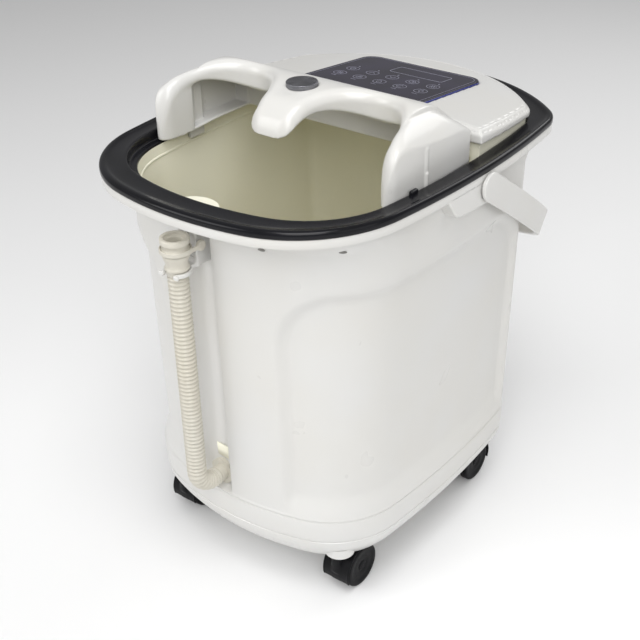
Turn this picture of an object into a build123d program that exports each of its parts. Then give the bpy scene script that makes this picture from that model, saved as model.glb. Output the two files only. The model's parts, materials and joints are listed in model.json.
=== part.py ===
"""Pedicure foot bath: a tall tub on casters with a splash hood, a drain hose and a bail handle.

Frame: millimetres, Z up from the floor, -Y is the sitter's side, +Y the control panel,
X across. The tub is symmetric about X = 0, apart from its drain hose.
"""

import math
import os

from build123d import *

# --- Driving dimensions ---------------------------------------------------------------
RIM_HALF_W = 163.8
RIM_HALF_L = 220.0
SIDE_R = 980.0
SIDE_BOW_Y = 10.0
FRONT_R = 317.0
REAR_R = 205.0
FRONT_CORNER_R = 112.0
REAR_CORNER_R = 47.0

BASE_Z = 50.0
SEAM_Z = 99.5
FLOOR_TOP_Z = 134.0
FLANGE_Z = 407.0
SHELL_TOP_Z = 415.6
DECK_Z = 421.0
RIM_TOP_Z = 422.6
LEDGE_Z = 411.5
WALL = 3.0
RUNNING = 0.08

# Insets from the rim's outer edge: side, front, rear.
NECK = (12.0, 23.0, 23.0)
DECK_EDGE = (20.0, 29.0, 29.0)
LEDGE_EDGE = (28.0, 37.0, 37.0)

SEAM_Y = 22.0
HOOD_FRONT_Y = -104.0
HOOD_FOOT_Z = LEDGE_Z + 0.4
HOOD_CREST_Z = 480.0
HOOD_INSET = 21.0
LEG_CUT_X = 72.0
LEG_CUT_Y = -100.0
LEG_CUT_RX = 49.0
LEG_CUT_RY = 76.0
HINGE_Y = 22.25
HINGE_Z = 450.2
KNUCKLE_R = 2.6
PIN_R = 1.2
KNUCKLES = ((22.0, 32.0), (32.4, 42.4))
BADGE_Y = -45.0
BADGE_R = 14.5

PANEL_HALF_W = 70.0
PANEL_Y = (27.0, 157.0)
PANEL_T = 3.6
COVER_TILT = math.degrees(math.atan(0.0894))
COVER_CROWN_Z0 = 453.0
COVER_CROWN_R = 1500.0
TRAY_Y = 27.2
STANDOFFS = tuple((x, y) for x in (-52.0, 52.0) for y in (50.0, 120.0))

HOSE_X = -12.0
HOSE_Y = -205.0
HOSE_R = 9.6
HOSE_BORE_R = 6.8
HOSE_PITCH = 4.2
PORT_Z = 117.0
CHANNEL_R = 18.0
CHANNEL_Y = -185.0
CHANNEL_FLOOR_Y = CHANNEL_Y + CHANNEL_R
ELBOW_R = 22.0
CUFF_Z = 353.0
MOUTH_Z = 388.0

PIVOT_Y = 10.0
PIVOT_Z = 402.0
HANDLE_HANG = 34.0
BAIL_OUTER = (-4.5, -20.0, -24.0)
BAIL_INNER = (-0.9, -10.5, -14.5)
HANDLE_H = 27.0
HUB_R = 8.0

CASTER_SPOTS = {
    "front_right": (104.0, -134.0, 1),
    "front_left": (-104.0, -134.0, 1),
    "rear_right": (108.0, 114.0, -1),
    "rear_left": (-108.0, 114.0, -1),
}
WHEEL_R = 23.0
WHEEL_W = 9.0
CASTER_TRAIL = 18.0
STEM_R = 4.0
AXLE_R = 2.5

DISC_X = 64.0
DISC_Y = -10.0
DISC_R = 46.0
DISC_PULLEY_R = 26.0
MOTOR_Y = 70.0
MOTOR_PULLEY_R = 10.0
BELT_Z = (100.0, 106.0)
DRAIN = (HOSE_X, -138.0)
LENS_SPOT = (0.0, -88.0)
SENSOR_SPOT = (34.0, -132.0)
HEATER_Y = 112.0
AIR_SPOT = (0.0, -20.0)


# --- Shared geometry --------------------------------------------------------------------
def crossing(side_r, side_x, end_r, end_y, sign):
    """Corner where a side arc meets an end arc, on the +X side."""
    dx, dy = side_x, SIDE_BOW_Y - end_y
    gap = math.hypot(dx, dy)
    along = (end_r**2 - side_r**2 + gap**2) / (2 * gap)
    across = math.sqrt(end_r**2 - along**2)
    ux, uy = dx / gap, dy / gap
    spots = [
        (along * ux - s * across * uy, end_y + along * uy + s * across * ux) for s in (1, -1)
    ]
    return max(spots, key=lambda p: (p[0] > 0, sign * p[1]))


def outline(side, front=None, rear=None):
    """Plan of the tub, set in from the rim's outer edge."""
    front = side if front is None else front
    rear = front if rear is None else rear
    half_w = RIM_HALF_W - side
    y_front, y_rear = front - RIM_HALF_L, RIM_HALF_L - rear
    side_r = SIDE_R - side
    fx, fy = crossing(side_r, half_w - side_r, FRONT_R - front, y_front + FRONT_R - front, -1)
    rx, ry = crossing(side_r, half_w - side_r, REAR_R - rear, y_rear - REAR_R + rear, 1)
    loop = [
        ThreePointArc((-fx, fy), (0, y_front), (fx, fy)),
        ThreePointArc((fx, fy), (half_w, SIDE_BOW_Y), (rx, ry)),
        ThreePointArc((rx, ry), (0, y_rear), (-rx, ry)),
        ThreePointArc((-rx, ry), (-half_w, SIDE_BOW_Y), (-fx, fy)),
    ]
    plan = make_face(loop)
    fore = plan.vertices().sort_by(Axis.Y)[:2]
    plan = fillet(fore, FRONT_CORNER_R - (side + front) / 2)
    aft = plan.vertices().sort_by(Axis.Y)[-2:]
    return fillet(aft, max(REAR_CORNER_R - (side + rear) / 2, 14))


def prism(sketch, z0, z1):
    return extrude(Pos(0, 0, z0) * sketch, z1 - z0)


def band(outer, inner, z0, z1):
    """Ring between two plan insets."""
    return prism(outline(*outer), z0, z1) - prism(outline(*inner), z0 - 1, z1 + 1)


def stack(levels, extra=0.0):
    """Solid through plan insets at rising heights; extra sets every level further in."""
    plans = [
        Pos(0, 0, z) * outline(side + extra, front + extra, rear + extra)
        for z, side, front, rear in levels
    ]
    spans = [loft([low, high], ruled=True) for low, high in zip(plans, plans[1:])]
    solid = spans[0]
    for span in spans[1:]:
        solid = solid + span
    return solid


def block(x0, x1, y0, y1, z0, z1):
    return Pos((x0 + x1) / 2, (y0 + y1) / 2, (z0 + z1) / 2) * Box(x1 - x0, y1 - y0, z1 - z0)


def rod(x, y, z0, z1, r, inner=0.0):
    """Upright cylinder or tube."""
    body = Pos(x, y, (z0 + z1) / 2) * Cylinder(r, z1 - z0)
    if inner:
        body -= Pos(x, y, (z0 + z1) / 2) * Cylinder(inner, z1 - z0 + 2)
    return body


def rod_x(y, z, x0, x1, r, inner=0.0):
    """Cylinder or tube along X."""
    place = Pos((x0 + x1) / 2, y, z) * Rot(0, 90, 0)
    body = place * Cylinder(r, x1 - x0)
    if inner:
        body -= place * Cylinder(inner, x1 - x0 + 2)
    return body


def rod_y(x, z, y0, y1, r, inner=0.0):
    """Cylinder or tube along Y."""
    place = Pos(x, (y0 + y1) / 2, z) * Rot(90, 0, 0)
    body = place * Cylinder(r, y1 - y0)
    if inner:
        body -= place * Cylinder(inner, y1 - y0 + 2)
    return body


def across(points, x0, x1):
    """Side profile in (y, z), drawn across from x0 to x1."""
    face = Plane.YZ * make_face(Polyline([*points, points[0]]))
    return extrude(Pos(x0, 0, 0) * face, x1 - x0)


def both(part):
    """A part and its mirror image across X = 0."""
    return [part, mirror(part, Plane.YZ)]


def whole(part):
    """The part's one solid, without stray faces."""
    return max(part.solids(), key=lambda s: s.volume)


def group(solids):
    """Separate like solids kept in one node."""
    return Compound(children=[s for part in solids for s in part.solids()])


# --- Tub shell, rim and basin -------------------------------------------------------------
SHELL_LEVELS = [
    (SEAM_Z, 16.5, 41.0, 34.5),
    (385.0, 12.0, 36.6, 30.0),
    (402.0, *NECK),
    (412.6, *NECK),
]
BASIN_LEVELS = [
    (FLOOR_TOP_Z, 36.0, 52.0, 46.0),
    (380.0, 29.5, 46.0, 39.0),
    (LEDGE_Z - 2.5, *LEDGE_EDGE),
]


def hose_channel(grow, z0, z1):
    return rod(HOSE_X, CHANNEL_Y, z0, z1, CHANNEL_R + grow)


def handle_boss():
    """Block under the flange that carries one handle pivot."""
    side = [(-51, 407), (-38, 389), (-32, 387), (14, 385), (25, 391), (28, 412.6), (-51, 412.6)]
    return band((0.6, 0.6), (14.5, 14.5), 380, 412.6) & across(side, 140, 170)


def outer_shell():
    skin = stack(SHELL_LEVELS) - hose_channel(0, 104, 397)
    hollow = stack(SHELL_LEVELS, WALL) - hose_channel(WALL, 101, 400)
    lower = SHELL_LEVELS[0]
    hollow += prism(outline(*(v + WALL for v in lower[1:])), SEAM_Z - 1, SEAM_Z)
    shell = skin - hollow
    shell += band((0.6, 0.6), (0.6 + WALL, 0.6 + WALL), FLANGE_Z, 412.6)
    shell += band((0.6, 0.6), (15.0, 26.0), 412.6, SHELL_TOP_Z)
    shell += band((14.5, 25.5), (18.0, 29.0), 403, 406)
    for boss in both(handle_boss()):
        shell += boss
    shell -= rod_x(PIVOT_Y, PIVOT_Z, -160, 160, 3.2) + rod_x(PIVOT_Y, PIVOT_Z, -148.6, 148.6, 6)
    for bore in both(rod_x(PIVOT_Y, PIVOT_Z, 152, 175, 10.5)):
        shell -= bore
    return whole(shell - rod_y(HOSE_X, PORT_Z, CHANNEL_FLOOR_Y - 6, CHANNEL_FLOOR_Y + 9, 11))


def rim_ring():
    """Glossy rim: rounded bead, sloping deck, step and the ledge that the hood stands on."""
    bead = band((0, 0), (6.0, 6.0), 417.6, RIM_TOP_Z)
    bead = fillet(bead.faces().sort_by(Axis.Z)[-1].outer_wire().edges(), 2.4)
    ring = bead + band((2.5, 2.5), DECK_EDGE, 417.6, DECK_Z)
    ring += band((0, 0), (2.5, 2.5), SHELL_TOP_Z, 418.5)
    step = tuple(v - 2.5 for v in DECK_EDGE)
    ring += band(step, DECK_EDGE, LEDGE_Z - 2.5, 418)
    ring += band(step, LEDGE_EDGE, LEDGE_Z - 2.5, LEDGE_Z)
    for lug in both(block(139.7, 143.5, -80, -72, LEDGE_Z - 2, 424.5)):
        ring += lug
    return ring - cable_slot()


def cable_slot():
    return block(-9, 9, 182, 187.3, 380, 425)


def rim_gasket():
    return band((5.0, 5.0), (11.0, 16.0), SHELL_TOP_Z, 417.6)


def inner_basin():
    """Water basin with its drain, sensor, lamp, air and shaft openings."""
    skin = stack([(131.0, 34.5, 50.5, 44.5), *BASIN_LEVELS[1:]], -WALL)
    hollow = stack(BASIN_LEVELS)
    skin -= hose_channel(2 * WALL - 1.5, 120, 403)
    hollow -= hose_channel(3 * WALL - 1.5, 120, 406)
    basin = skin - hollow
    basin += band((17.5, 26.5), LEDGE_EDGE, 406, LEDGE_Z - 2.5)
    basin -= cable_slot()
    for relief in both(rod_x(PIVOT_Y, PIVOT_Z, 143, 160, 6)):
        basin -= relief
    for x in (-DISC_X, DISC_X):
        basin += rod(x, DISC_Y, 118, 131.5, 11)
        basin -= rod(x, DISC_Y, 110, 140, 7)
    basin -= rod(*DRAIN, 120, 140, 12)
    basin -= rod(*LENS_SPOT, 120, 140, 14)
    basin -= rod(*SENSOR_SPOT, 120, 140, 4)
    basin -= rod(*AIR_SPOT, 120, 140, 5)
    return whole(basin)


def base_tray():
    """Skirt and floor under the shell, with caster bosses, board posts and vents."""
    levels = [(BASE_Z, 28, 52, 46), (66, 18, 43, 37), (94, 16, 40.5, 34), (SEAM_Z, 17, 41.5, 35)]
    skin = stack(levels)
    for x, y, _ in CASTER_SPOTS.values():
        skin += rod(x, y, BASE_Z, 60, 15)
    inner = [(BASE_Z + WALL, *levels[0][1:]), *levels[1:3], (SEAM_Z + 0.01, *levels[3][1:])]
    tray = skin - stack(inner, WALL)
    for x, y, _ in CASTER_SPOTS.values():
        tray += rod(x, y, BASE_Z, 88, 9)
        tray -= rod(x, y, BASE_Z - 1, 86, 6)
    for x, y, top, r in board_posts() + motor_posts():
        tray += rod(x, y, BASE_Z + WALL - 0.5, top, r)
    for i in range(9):
        tray -= block(-32 + 8 * i, -28 + 8 * i, 20, 110, BASE_Z - 1, BASE_Z + WALL + 1)
    tray -= rod_y(60, 78, 170, 195, 7)
    return tray


# --- Splash hood --------------------------------------------------------------------------
HOOD_SIDE = [
    (HOOD_FRONT_Y, 434),
    (-97, 452),
    (-82, 468),
    (-62, 477),
    (-38, HOOD_CREST_Z),
    (-14, 474),
    (5, 461),
    (SEAM_Y - 1, 449.5),
]


def hood_plan(extra):
    """Seen from above: two scallops for the shins and a tongue between them."""
    y0, y1 = HOOD_FRONT_Y + extra, SEAM_Y - 1 - extra
    plan = outline(HOOD_INSET + extra) & Pos(0, (y0 + y1) / 2) * Rectangle(400, y1 - y0)
    tongue_w = 2 * (LEG_CUT_X - LEG_CUT_RX)
    for x in (-LEG_CUT_X, LEG_CUT_X):
        plan -= Pos(x, LEG_CUT_Y) * Ellipse(LEG_CUT_RX + extra, LEG_CUT_RY + extra)
        plan -= Pos(x, LEG_CUT_Y - 20) * Rectangle(2 * (LEG_CUT_RX + extra), 40)
    plan -= Pos(0, HOOD_FRONT_Y) * Rectangle(tongue_w + 2, 14 + 2 * extra)
    return plan


def hood_form(extra):
    """Dome over the plan, cut by its side and front profiles."""
    top = Spline([(y, z - extra) for y, z in HOOD_SIDE])
    y0, y1 = HOOD_SIDE[0][0], HOOD_SIDE[-1][0]
    low = HOOD_FOOT_Z - 12
    side = make_face([top, Polyline((y1, HOOD_SIDE[-1][1] - extra), (y1, low), (y0, low), top @ 0)])
    dome = extrude(Pos(-160, 0, 0) * (Plane.YZ * side), 320)
    corner = 46.0 - extra
    half = RIM_HALF_W - HOOD_INSET + 1 - extra
    arch = Pos(0, HOOD_CREST_Z - extra - 60) * Rectangle(2 * half, 120)
    arch = fillet(arch.vertices().group_by(Axis.Y)[-1], corner)
    vault = extrude(Pos(0, 140, 0) * (Plane.XZ * arch), 280)
    return prism(hood_plan(extra), HOOD_FOOT_Z - (5 if extra else 0), 500) & dome & vault


def hood_shell():
    shell = hood_form(0) - hood_form(WALL)
    lip = [(-130, 400), (-130, 446), (-97, 447), (-60, 455), (-21, 454), (16, 454), (16, 400)]
    shell -= across(lip, -117.5, 117.5)
    shell -= block(-118, 118, 10, SEAM_Y, 400, 438)
    for part in both(block(127.5, 131.5, -62, -42, 402, 452) + block(131, 140.5, -54, -51, 413, 440)):
        shell += part
    shell -= rod(0, BADGE_Y, 476.2, 490, BADGE_R + 0.1)
    for relief in hinge_relief(0):
        shell -= relief
    lug = [(HINGE_Y, HINGE_Z + 1.2), (16, 453.6), (16, 447), (HINGE_Y, HINGE_Z - KNUCKLE_R)]
    for barrel in knuckles(1, lug):
        shell += barrel
    return whole(shell)


def hood_badge():
    disc = rod(0, BADGE_Y, 476.2, 480.6, BADGE_R)
    return fillet(disc.edges().sort_by(Axis.Z)[-1], 0.8)


def knuckles(which, lug):
    """Hinge barrels along the seam, each with a lug reaching towards its own cover."""
    x0, x1 = KNUCKLES[which]
    barrel = rod_x(HINGE_Y, HINGE_Z, x0, x1, KNUCKLE_R) + across(lug, x0, x1)
    return both(barrel - rod_x(HINGE_Y, HINGE_Z, x0 - 1, x1 + 1, PIN_R + RUNNING * (which == 1)))


def hinge_pins():
    x0, x1 = KNUCKLES[0][0], KNUCKLES[1][1]
    return group(both(rod_x(HINGE_Y, HINGE_Z, x0, x1, PIN_R)))


def hinge_relief(which):
    """Room round the other cover's barrels."""
    x0, x1 = KNUCKLES[which]
    return both(rod_x(HINGE_Y, HINGE_Z, x0 - 0.4, x1 + 0.4, KNUCKLE_R + 0.5))


# --- Control housing ----------------------------------------------------------------------
def rear_plan(side, rear, front_y):
    return outline(side, rear, rear) & Pos(0, front_y + 150) * Rectangle(400, 300)


def crown(drop):
    """Barrel whose top line is the rear cover's centre line, lowered by drop."""
    axis_z = COVER_CROWN_Z0 - COVER_CROWN_R / math.cos(math.radians(COVER_TILT))
    return Pos(0, 0, axis_z) * Rot(-90 - COVER_TILT, 0, 0) * Cylinder(COVER_CROWN_R - drop, 900)


def rear_cover():
    skin = prism(rear_plan(18, 27, SEAM_Y + 1.5), 415, 470) & crown(0)
    hollow = prism(rear_plan(18 + WALL, 27 + WALL, SEAM_Y + 1.5 + WALL), 410, 470) & crown(WALL)
    eave = [(0, 400), (0, 432.7), (210, 421.6), (210, 400)]
    cover = skin - hollow - across(eave, -170, 170)
    ledge = panel_slab(PANEL_T + 2.8, 3, -2) - panel_slab(PANEL_T + 5, -3.5, 0)
    cover = cover + ledge - panel_slab(PANEL_T + 0.1, 0.3, 6) - panel_slab(PANEL_T + 5, -3.5, 0)
    for relief in hinge_relief(1):
        cover -= relief
    lug = [(HINGE_Y, HINGE_Z + 1), (26, 448.6), (26, 446.2), (HINGE_Y, HINGE_Z - KNUCKLE_R)]
    for barrel in knuckles(0, lug):
        cover += barrel
    return whole(cover)


def panel_slab(depth, grow, rise):
    """Rounded slab lying in the panel's tilted plane; depth below its top, rise above it."""
    mid = sum(PANEL_Y) / 2
    top_z = 453.5 - 0.0894 * mid
    size = RectangleRounded(
        2 * (PANEL_HALF_W + grow), PANEL_Y[1] - PANEL_Y[0] + 2 * grow, 16 + grow
    )
    slab = extrude(Pos(0, 0, -depth) * size, depth + rise)
    return Pos(0, mid, top_z) * Rot(-COVER_TILT, 0, 0) * slab


def touch_panel():
    slab = panel_slab(PANEL_T, 0, 0)
    return fillet(slab.faces().sort_by(Axis.Z)[-1].edges(), 0.9)


def housing_tray():
    """Wall standing on the rim's ledge, and the floor and bulkhead round the electronics."""
    wall = prism(rear_plan(21, 30, TRAY_Y), LEDGE_Z, 438)
    hollow = prism(rear_plan(23.5, 32.5, TRAY_Y + 2.5), 419.5, 446)
    under = prism(rear_plan(30, 39, TRAY_Y - 5), LEDGE_Z - 1, 417)
    eave = [(0, 460), (0, 432.4), (210, 421.3), (210, 460)]
    tray = wall - hollow - under
    tray -= across(eave, -170, 170) & prism(rear_plan(10, 10, TRAY_Y + 2.5), 400, 480)
    for x, y in STANDOFFS:
        tray += rod(x, y, 419, 424, 3)
        tray -= rod(x, y, 420, 425, 1.3)
    return whole(tray - cable_slot())


def electronics():
    """Board and its parts between the tray floor and the cover."""
    board = block(-58, 58, 45, 125, 424, 425.6)
    for x, y in STANDOFFS:
        board -= rod(x, y, 420, 430, 1.3)
    board += rod(44, 60, 425.6, 432, 6, 1.2) + block(-50, -42, 54, 60, 425.6, 431)
    return {
        "control_board": board,
        "display_module": block(-28, 28, 78, 106, 425.6, 433),
        "touch_film": panel_slab(PANEL_T + 1.2, -4, -PANEL_T - 0.4),
        "board_screws": group([screw(x, y, 425.6, 5, 1.3) for x, y in STANDOFFS]),
    }


def screw(x, y, z, length, r):
    """Pan head standing on z, shank going down."""
    return rod(x, y, z, z + 1.6, 2 * r) + rod(x, y, z - length, z, r)


# --- Handle -------------------------------------------------------------------------------
def swing(part, angle):
    """Turns a part about the handle's pivot axis."""
    here = Pos(0, PIVOT_Y, PIVOT_Z)
    return here * Rot(angle, 0, 0) * here.inverse() * part


def carry_handle():
    z0, z1 = PIVOT_Z - HANDLE_H / 2, PIVOT_Z + HANDLE_H / 2
    bail = prism(outline(*BAIL_OUTER), z0, z1) - prism(outline(*BAIL_INNER), z0 - 1, z1 + 1)
    keep = block(-200, 200, PIVOT_Y, 260, z0 - 1, z1 + 1)
    bail = bail & keep
    for end in both(rod_x(PIVOT_Y, PIVOT_Z, RIM_HALF_W + 0.9, RIM_HALF_W + 4.5, HANDLE_H / 2)):
        bail += end
    for hub in both(rod_x(PIVOT_Y, PIVOT_Z, 152.4, RIM_HALF_W + 1.5, HUB_R)):
        bail += hub
    bail -= rod_x(PIVOT_Y, PIVOT_Z, -160, 160, 2.5)
    return swing(bail, -HANDLE_HANG)


def pivot_bushes():
    return group(both(rod_x(PIVOT_Y, PIVOT_Z, 152, 163, 10.5, HUB_R + RUNNING)))


def pivot_screws():
    head = rod_x(PIVOT_Y, PIVOT_Z, 144.6, 147.8, 5.0)
    return group(both(head + rod_x(PIVOT_Y, PIVOT_Z, 147.8, 159.5, 2.5)))


# --- Drain hose ---------------------------------------------------------------------------
def drain_hose():
    """Bellows hose: stands up out of the port's elbow to the cuff."""
    foot_z = PORT_Z + ELBOW_R
    count = int((CUFF_Z - foot_z) / HOSE_PITCH)
    pitch = (CUFF_Z - foot_z) / count
    profile = [(HOSE_BORE_R, foot_z)]
    for i in range(count):
        z = foot_z + i * pitch
        profile += [(HOSE_R - 2, z), (HOSE_R, z + 0.3 * pitch), (HOSE_R, z + 0.7 * pitch)]
    profile += [(HOSE_R - 2, CUFF_Z), (HOSE_BORE_R, CUFF_Z)]
    tube = revolve(Plane.XZ * make_face(Polyline([*profile, profile[0]])), Axis.Z)
    ring = Circle(HOSE_R - 1) - Circle(HOSE_BORE_R)
    bend = revolve(
        Pos(HOSE_X, HOSE_Y, foot_z) * ring,
        Axis((HOSE_X, HOSE_Y + ELBOW_R, foot_z), (1, 0, 0)),
        90,
    )
    tail_y = CHANNEL_FLOOR_Y + WALL
    tail = rod_y(HOSE_X, PORT_Z, HOSE_Y + ELBOW_R, tail_y, HOSE_R - 1, HOSE_BORE_R)
    return Pos(HOSE_X, HOSE_Y, 0) * tube + bend + tail


def port_cuff():
    """Smooth collar pressed in the port, round the end of the hose."""
    y0 = CHANNEL_FLOOR_Y
    flange = rod_y(HOSE_X, PORT_Z, y0 - 5, y0, 13.5) & hose_channel(-0.05, 104.1, 150)
    collar = flange + rod_y(HOSE_X, PORT_Z, y0 - 3, y0 + WALL, 10.9)
    return collar - rod_y(HOSE_X, PORT_Z, y0 - 7, y0 + 9, HOSE_R - 1)


def hose_cuff():
    """Open mouth of the hose: a ribbed collar that flares to a flange."""
    rise = MOUTH_Z - CUFF_Z
    profile = [
        (HOSE_BORE_R, 0), (9.7, 0), (9.7, 4.6), (10.9, 5.3), (10.9, 7.6), (10.0, 8.4), (10.0, 11.4),
        (11.9, 16.7), (11.9, 19.8), (11.0, 20.5), (11.0, 22.0), (12.4, 22.8), (12.4, 25.1),
        (11.3, 25.9), (11.3, 28.9), (13.0, 30.4), (13.0, rise), (HOSE_BORE_R, rise),
    ]
    face = Plane.XZ * make_face(Polyline([*profile, profile[0]]))
    return Pos(HOSE_X, HOSE_Y, CUFF_Z) * revolve(face, Axis.Z)


def hose_bracket():
    """Plate on the channel's floor with an open ring that grips the cuff's waist."""
    plate = block(HOSE_X - 7, HOSE_X + 7, HOSE_Y + 11, CHANNEL_FLOOR_Y + 1, 353.6, 391)
    plate -= block(HOSE_X - 30, HOSE_X + 30, HOSE_Y, HOSE_Y + 17, 357.4, 400)
    arms = rod(HOSE_X, HOSE_Y, 353.6, 357.4, 12.6, 10.0)
    arms -= Pos(HOSE_X, HOSE_Y - 11, 355.5) * Box(13, 13, 10)
    grip = plate - rod(HOSE_X, HOSE_Y, 348, 366, 11.5) + arms
    return whole(grip & (hose_channel(-0.05, 300, 400) + block(-60, 40, -240, -193, 300, 400)))


def hose_strap():
    """Flexible strap from the cuff's waist to its slot beside the bracket."""
    loop = rod(HOSE_X, HOSE_Y, 374.2, 375.2, 14.2, 12.6) + rod(HOSE_X, HOSE_Y, 375.2, 378.6, 14.2, 13.2)
    tail = Pos(HOSE_X + 13.3, HOSE_Y + 7, 376.4) * Box(1.8, 20, 4.4)
    tab = rod_x(HOSE_Y + 18, 376.4, HOSE_X + 10.4, HOSE_X + 14.2, 5.0)
    return loop + tail + tab


def drain_elbow():
    """Pipe from the basin's drain to the back of the port."""
    x, y = DRAIN
    y_port = CHANNEL_FLOOR_Y + WALL + 0.1
    body = rod_y(x, PORT_Z, y_port, y, 11) + rod(x, y, PORT_Z, 131, 11)
    body += Pos(x, y, PORT_Z) * Sphere(11)
    bore = rod_y(x, PORT_Z, y_port - 2, y, 8.5) + rod(x, y, PORT_Z, 135, 8.5)
    return body - bore - Pos(x, y, PORT_Z) * Sphere(8.5)


def drain_strainer():
    cap = rod(*DRAIN, FLOOR_TOP_Z, FLOOR_TOP_Z + 2, 16) + rod(*DRAIN, 131, FLOOR_TOP_Z, 11.8)
    x, y = DRAIN
    cap -= rod(x, y, 130, 137, 2)
    for i in range(8):
        a = math.radians(45 * i)
        cap -= rod(x + 7 * math.cos(a), y + 7 * math.sin(a), 130, 137, 1.8)
    return cap


# --- Casters ------------------------------------------------------------------------------
def caster(x, y, way):
    """Hooded twin-wheel caster trailing towards way * Y: frame, axle and wheel pair."""
    ax_y = y + way * CASTER_TRAIL
    hood = rod_x(ax_y, WHEEL_R, x - 16, x + 16, 25.6, 24.3)
    lean = [(0, -0.5), (40 * -way, -14), (40 * -way, 30), (0, 30), (14 * way, 30), (14 * way, 19)]
    keep = across([(ax_y + py, WHEEL_R + pz) for py, pz in lean], x - 17, x + 17)
    web = rod_x(ax_y, WHEEL_R, x - 5, x + 5, 24.6) & keep
    frame = (hood & keep) + web + rod_x(ax_y, WHEEL_R, x - 5, x + 5, 6)
    frame += rod(x, y, WHEEL_R + 2, 49.2, 8.5) & across(
        [(y - 20, WHEEL_R - 2), (y + 20, WHEEL_R - 2), (y + 20, 60), (y - 20, 60)], x - 5, x + 5
    )
    frame += rod(x, y, 40, 49.2, 8.5) & block(x - 9, x + 9, y - 9, y + 9, 46.5, 49.2)
    frame += rod(x, y, 48, 80, STEM_R)
    frame -= rod_x(ax_y, WHEEL_R, x - 20, x + 20, AXLE_R)
    axle = rod_x(ax_y, WHEEL_R, x - 14.5, x + 14.5, AXLE_R)
    wheels = []
    for side in (-1, 1):
        inner, outer = sorted((x + side * 6.2, x + side * (6.2 + WHEEL_W)))
        wheel = rod_x(ax_y, WHEEL_R, inner, outer, WHEEL_R)
        wheel = fillet(wheel.edges().filter_by(GeomType.CIRCLE), 1.6)
        bore = rod_x(ax_y, WHEEL_R, *sorted((x + side * 6, x + side * 15.5)), AXLE_R + RUNNING)
        wheels.append(wheel - bore)
    return frame, axle, group(wheels)


def caster_sockets():
    return group(
        [rod(x, y, 51, 86, 6, STEM_R + RUNNING) for x, y, _ in CASTER_SPOTS.values()]
    )


# --- Massage drive ------------------------------------------------------------------------
def massage_disc(x):
    """Turntable in the basin floor with six kneading knobs round a centre cap."""
    disc = rod(x, DISC_Y, FLOOR_TOP_Z + 1, FLOOR_TOP_Z + 8, DISC_R)
    disc = fillet(disc.edges().sort_by(Axis.Z)[-1], 3)
    for i in range(6):
        a = math.radians(60 * i)
        knob = Pos(x + 29 * math.cos(a), DISC_Y + 29 * math.sin(a), FLOOR_TOP_Z + 8) * Sphere(9)
        disc += knob - rod(x, DISC_Y, FLOOR_TOP_Z - 9, FLOOR_TOP_Z + 1, 60)
    return disc - rod(x, DISC_Y, FLOOR_TOP_Z - 2, FLOOR_TOP_Z + 5, 4)


def massage_shaft(x):
    return rod(x, DISC_Y, 94, FLOOR_TOP_Z + 5, 4)


def flanged_pulley(x, y, r, bore):
    """Belt wheel with a flange above and below the belt."""
    blank = rod(x, y, BELT_Z[0] - 2, BELT_Z[1] + 2, r + 1.5, bore)
    return blank - rod(x, y, *BELT_Z, r + 5, r)


def shaft_bearings():
    sleeves = []
    for x in (-DISC_X, DISC_X):
        sleeves.append(rod(x, DISC_Y, 114, 131, 7, 4 + RUNNING))
    return group(sleeves)


def shaft_seals():
    return group([rod(x, DISC_Y, 131, FLOOR_TOP_Z, 7, 4.3) for x in (-DISC_X, DISC_X)])


def drive_belt():
    """Flat belt round the motor pulley and both disc pulleys."""
    z0, z1 = BELT_Z[0] + 0.4, BELT_Z[1] - 0.4
    wraps = [(-DISC_X, DISC_Y, DISC_PULLEY_R), (DISC_X, DISC_Y, DISC_PULLEY_R)]
    wraps.append((0, MOTOR_Y, MOTOR_PULLEY_R))

    def loop(extra):
        rounds = [Pos(x, y) * Circle(r + extra) for x, y, r in wraps]
        return make_hull(Sketch(children=rounds).edges())

    return prism(loop(1.8), z0, z1) - prism(loop(0.3), z0 - 1, z1 + 1)


def massage_motor():
    can = rod(0, MOTOR_Y, 57, 92, 26)
    plate = block(-32, 32, MOTOR_Y - 18, MOTOR_Y + 18, 92, 94)
    return can + plate - rod(0, MOTOR_Y, 70, 95, 4.6)


def motor_posts():
    """Where the base's posts hold the motor plate, with their top and radius."""
    return [(x, y, 92, 3.5) for x in (-29, 29) for y in (MOTOR_Y - 14, MOTOR_Y + 14)]


def motor_pulley():
    """Small belt wheel on the motor's shaft."""
    wheel = flanged_pulley(0, MOTOR_Y, MOTOR_PULLEY_R, 4)
    return group([wheel, rod(0, MOTOR_Y, 72, BELT_Z[1] + 2, 4)])


# --- Heat, air, light and power ----------------------------------------------------------
def heater_plate():
    return block(-70, 70, HEATER_Y - 24, HEATER_Y + 24, 127, 131)


def heater_element():
    runs = [
        rod_y(x, 123.4, HEATER_Y - 20, HEATER_Y + 20, 3.5) for x in (-48, -24, 24, 48)
    ]
    return group(runs)


def thermostat():
    return rod(0, HEATER_Y, 119, 127, 8.5) + block(-12, 12, HEATER_Y - 2, HEATER_Y + 2, 121, 127)


def temperature_sensor():
    x, y = SENSOR_SPOT
    bulb = rod(x, y, 120, FLOOR_TOP_Z + 5, 4) + rod(x, y, 128, 131, 8)
    return fillet(bulb.edges().sort_by(Axis.Z)[-1], 2)


def air_pump():
    case = block(-104, -48, 30, 92, 57, 90)
    return case + rod_y(-60, 76, 18, 30, 3.5)


def air_pump_feet():
    return group(
        [rod(x, y, BASE_Z + WALL, 57, 4) for x in (-98, -54) for y in (36, 86)]
    )


def air_hose():
    """From the pump's outlet up to the air strip's nipple."""
    x, y = AIR_SPOT
    path = FilletPolyline((-60, 18, 76), (-60, y, 76), (x, y, 76), (x, y, 120), radius=14)
    return sweep((path ^ 0) * Circle(3.5), path)


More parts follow.
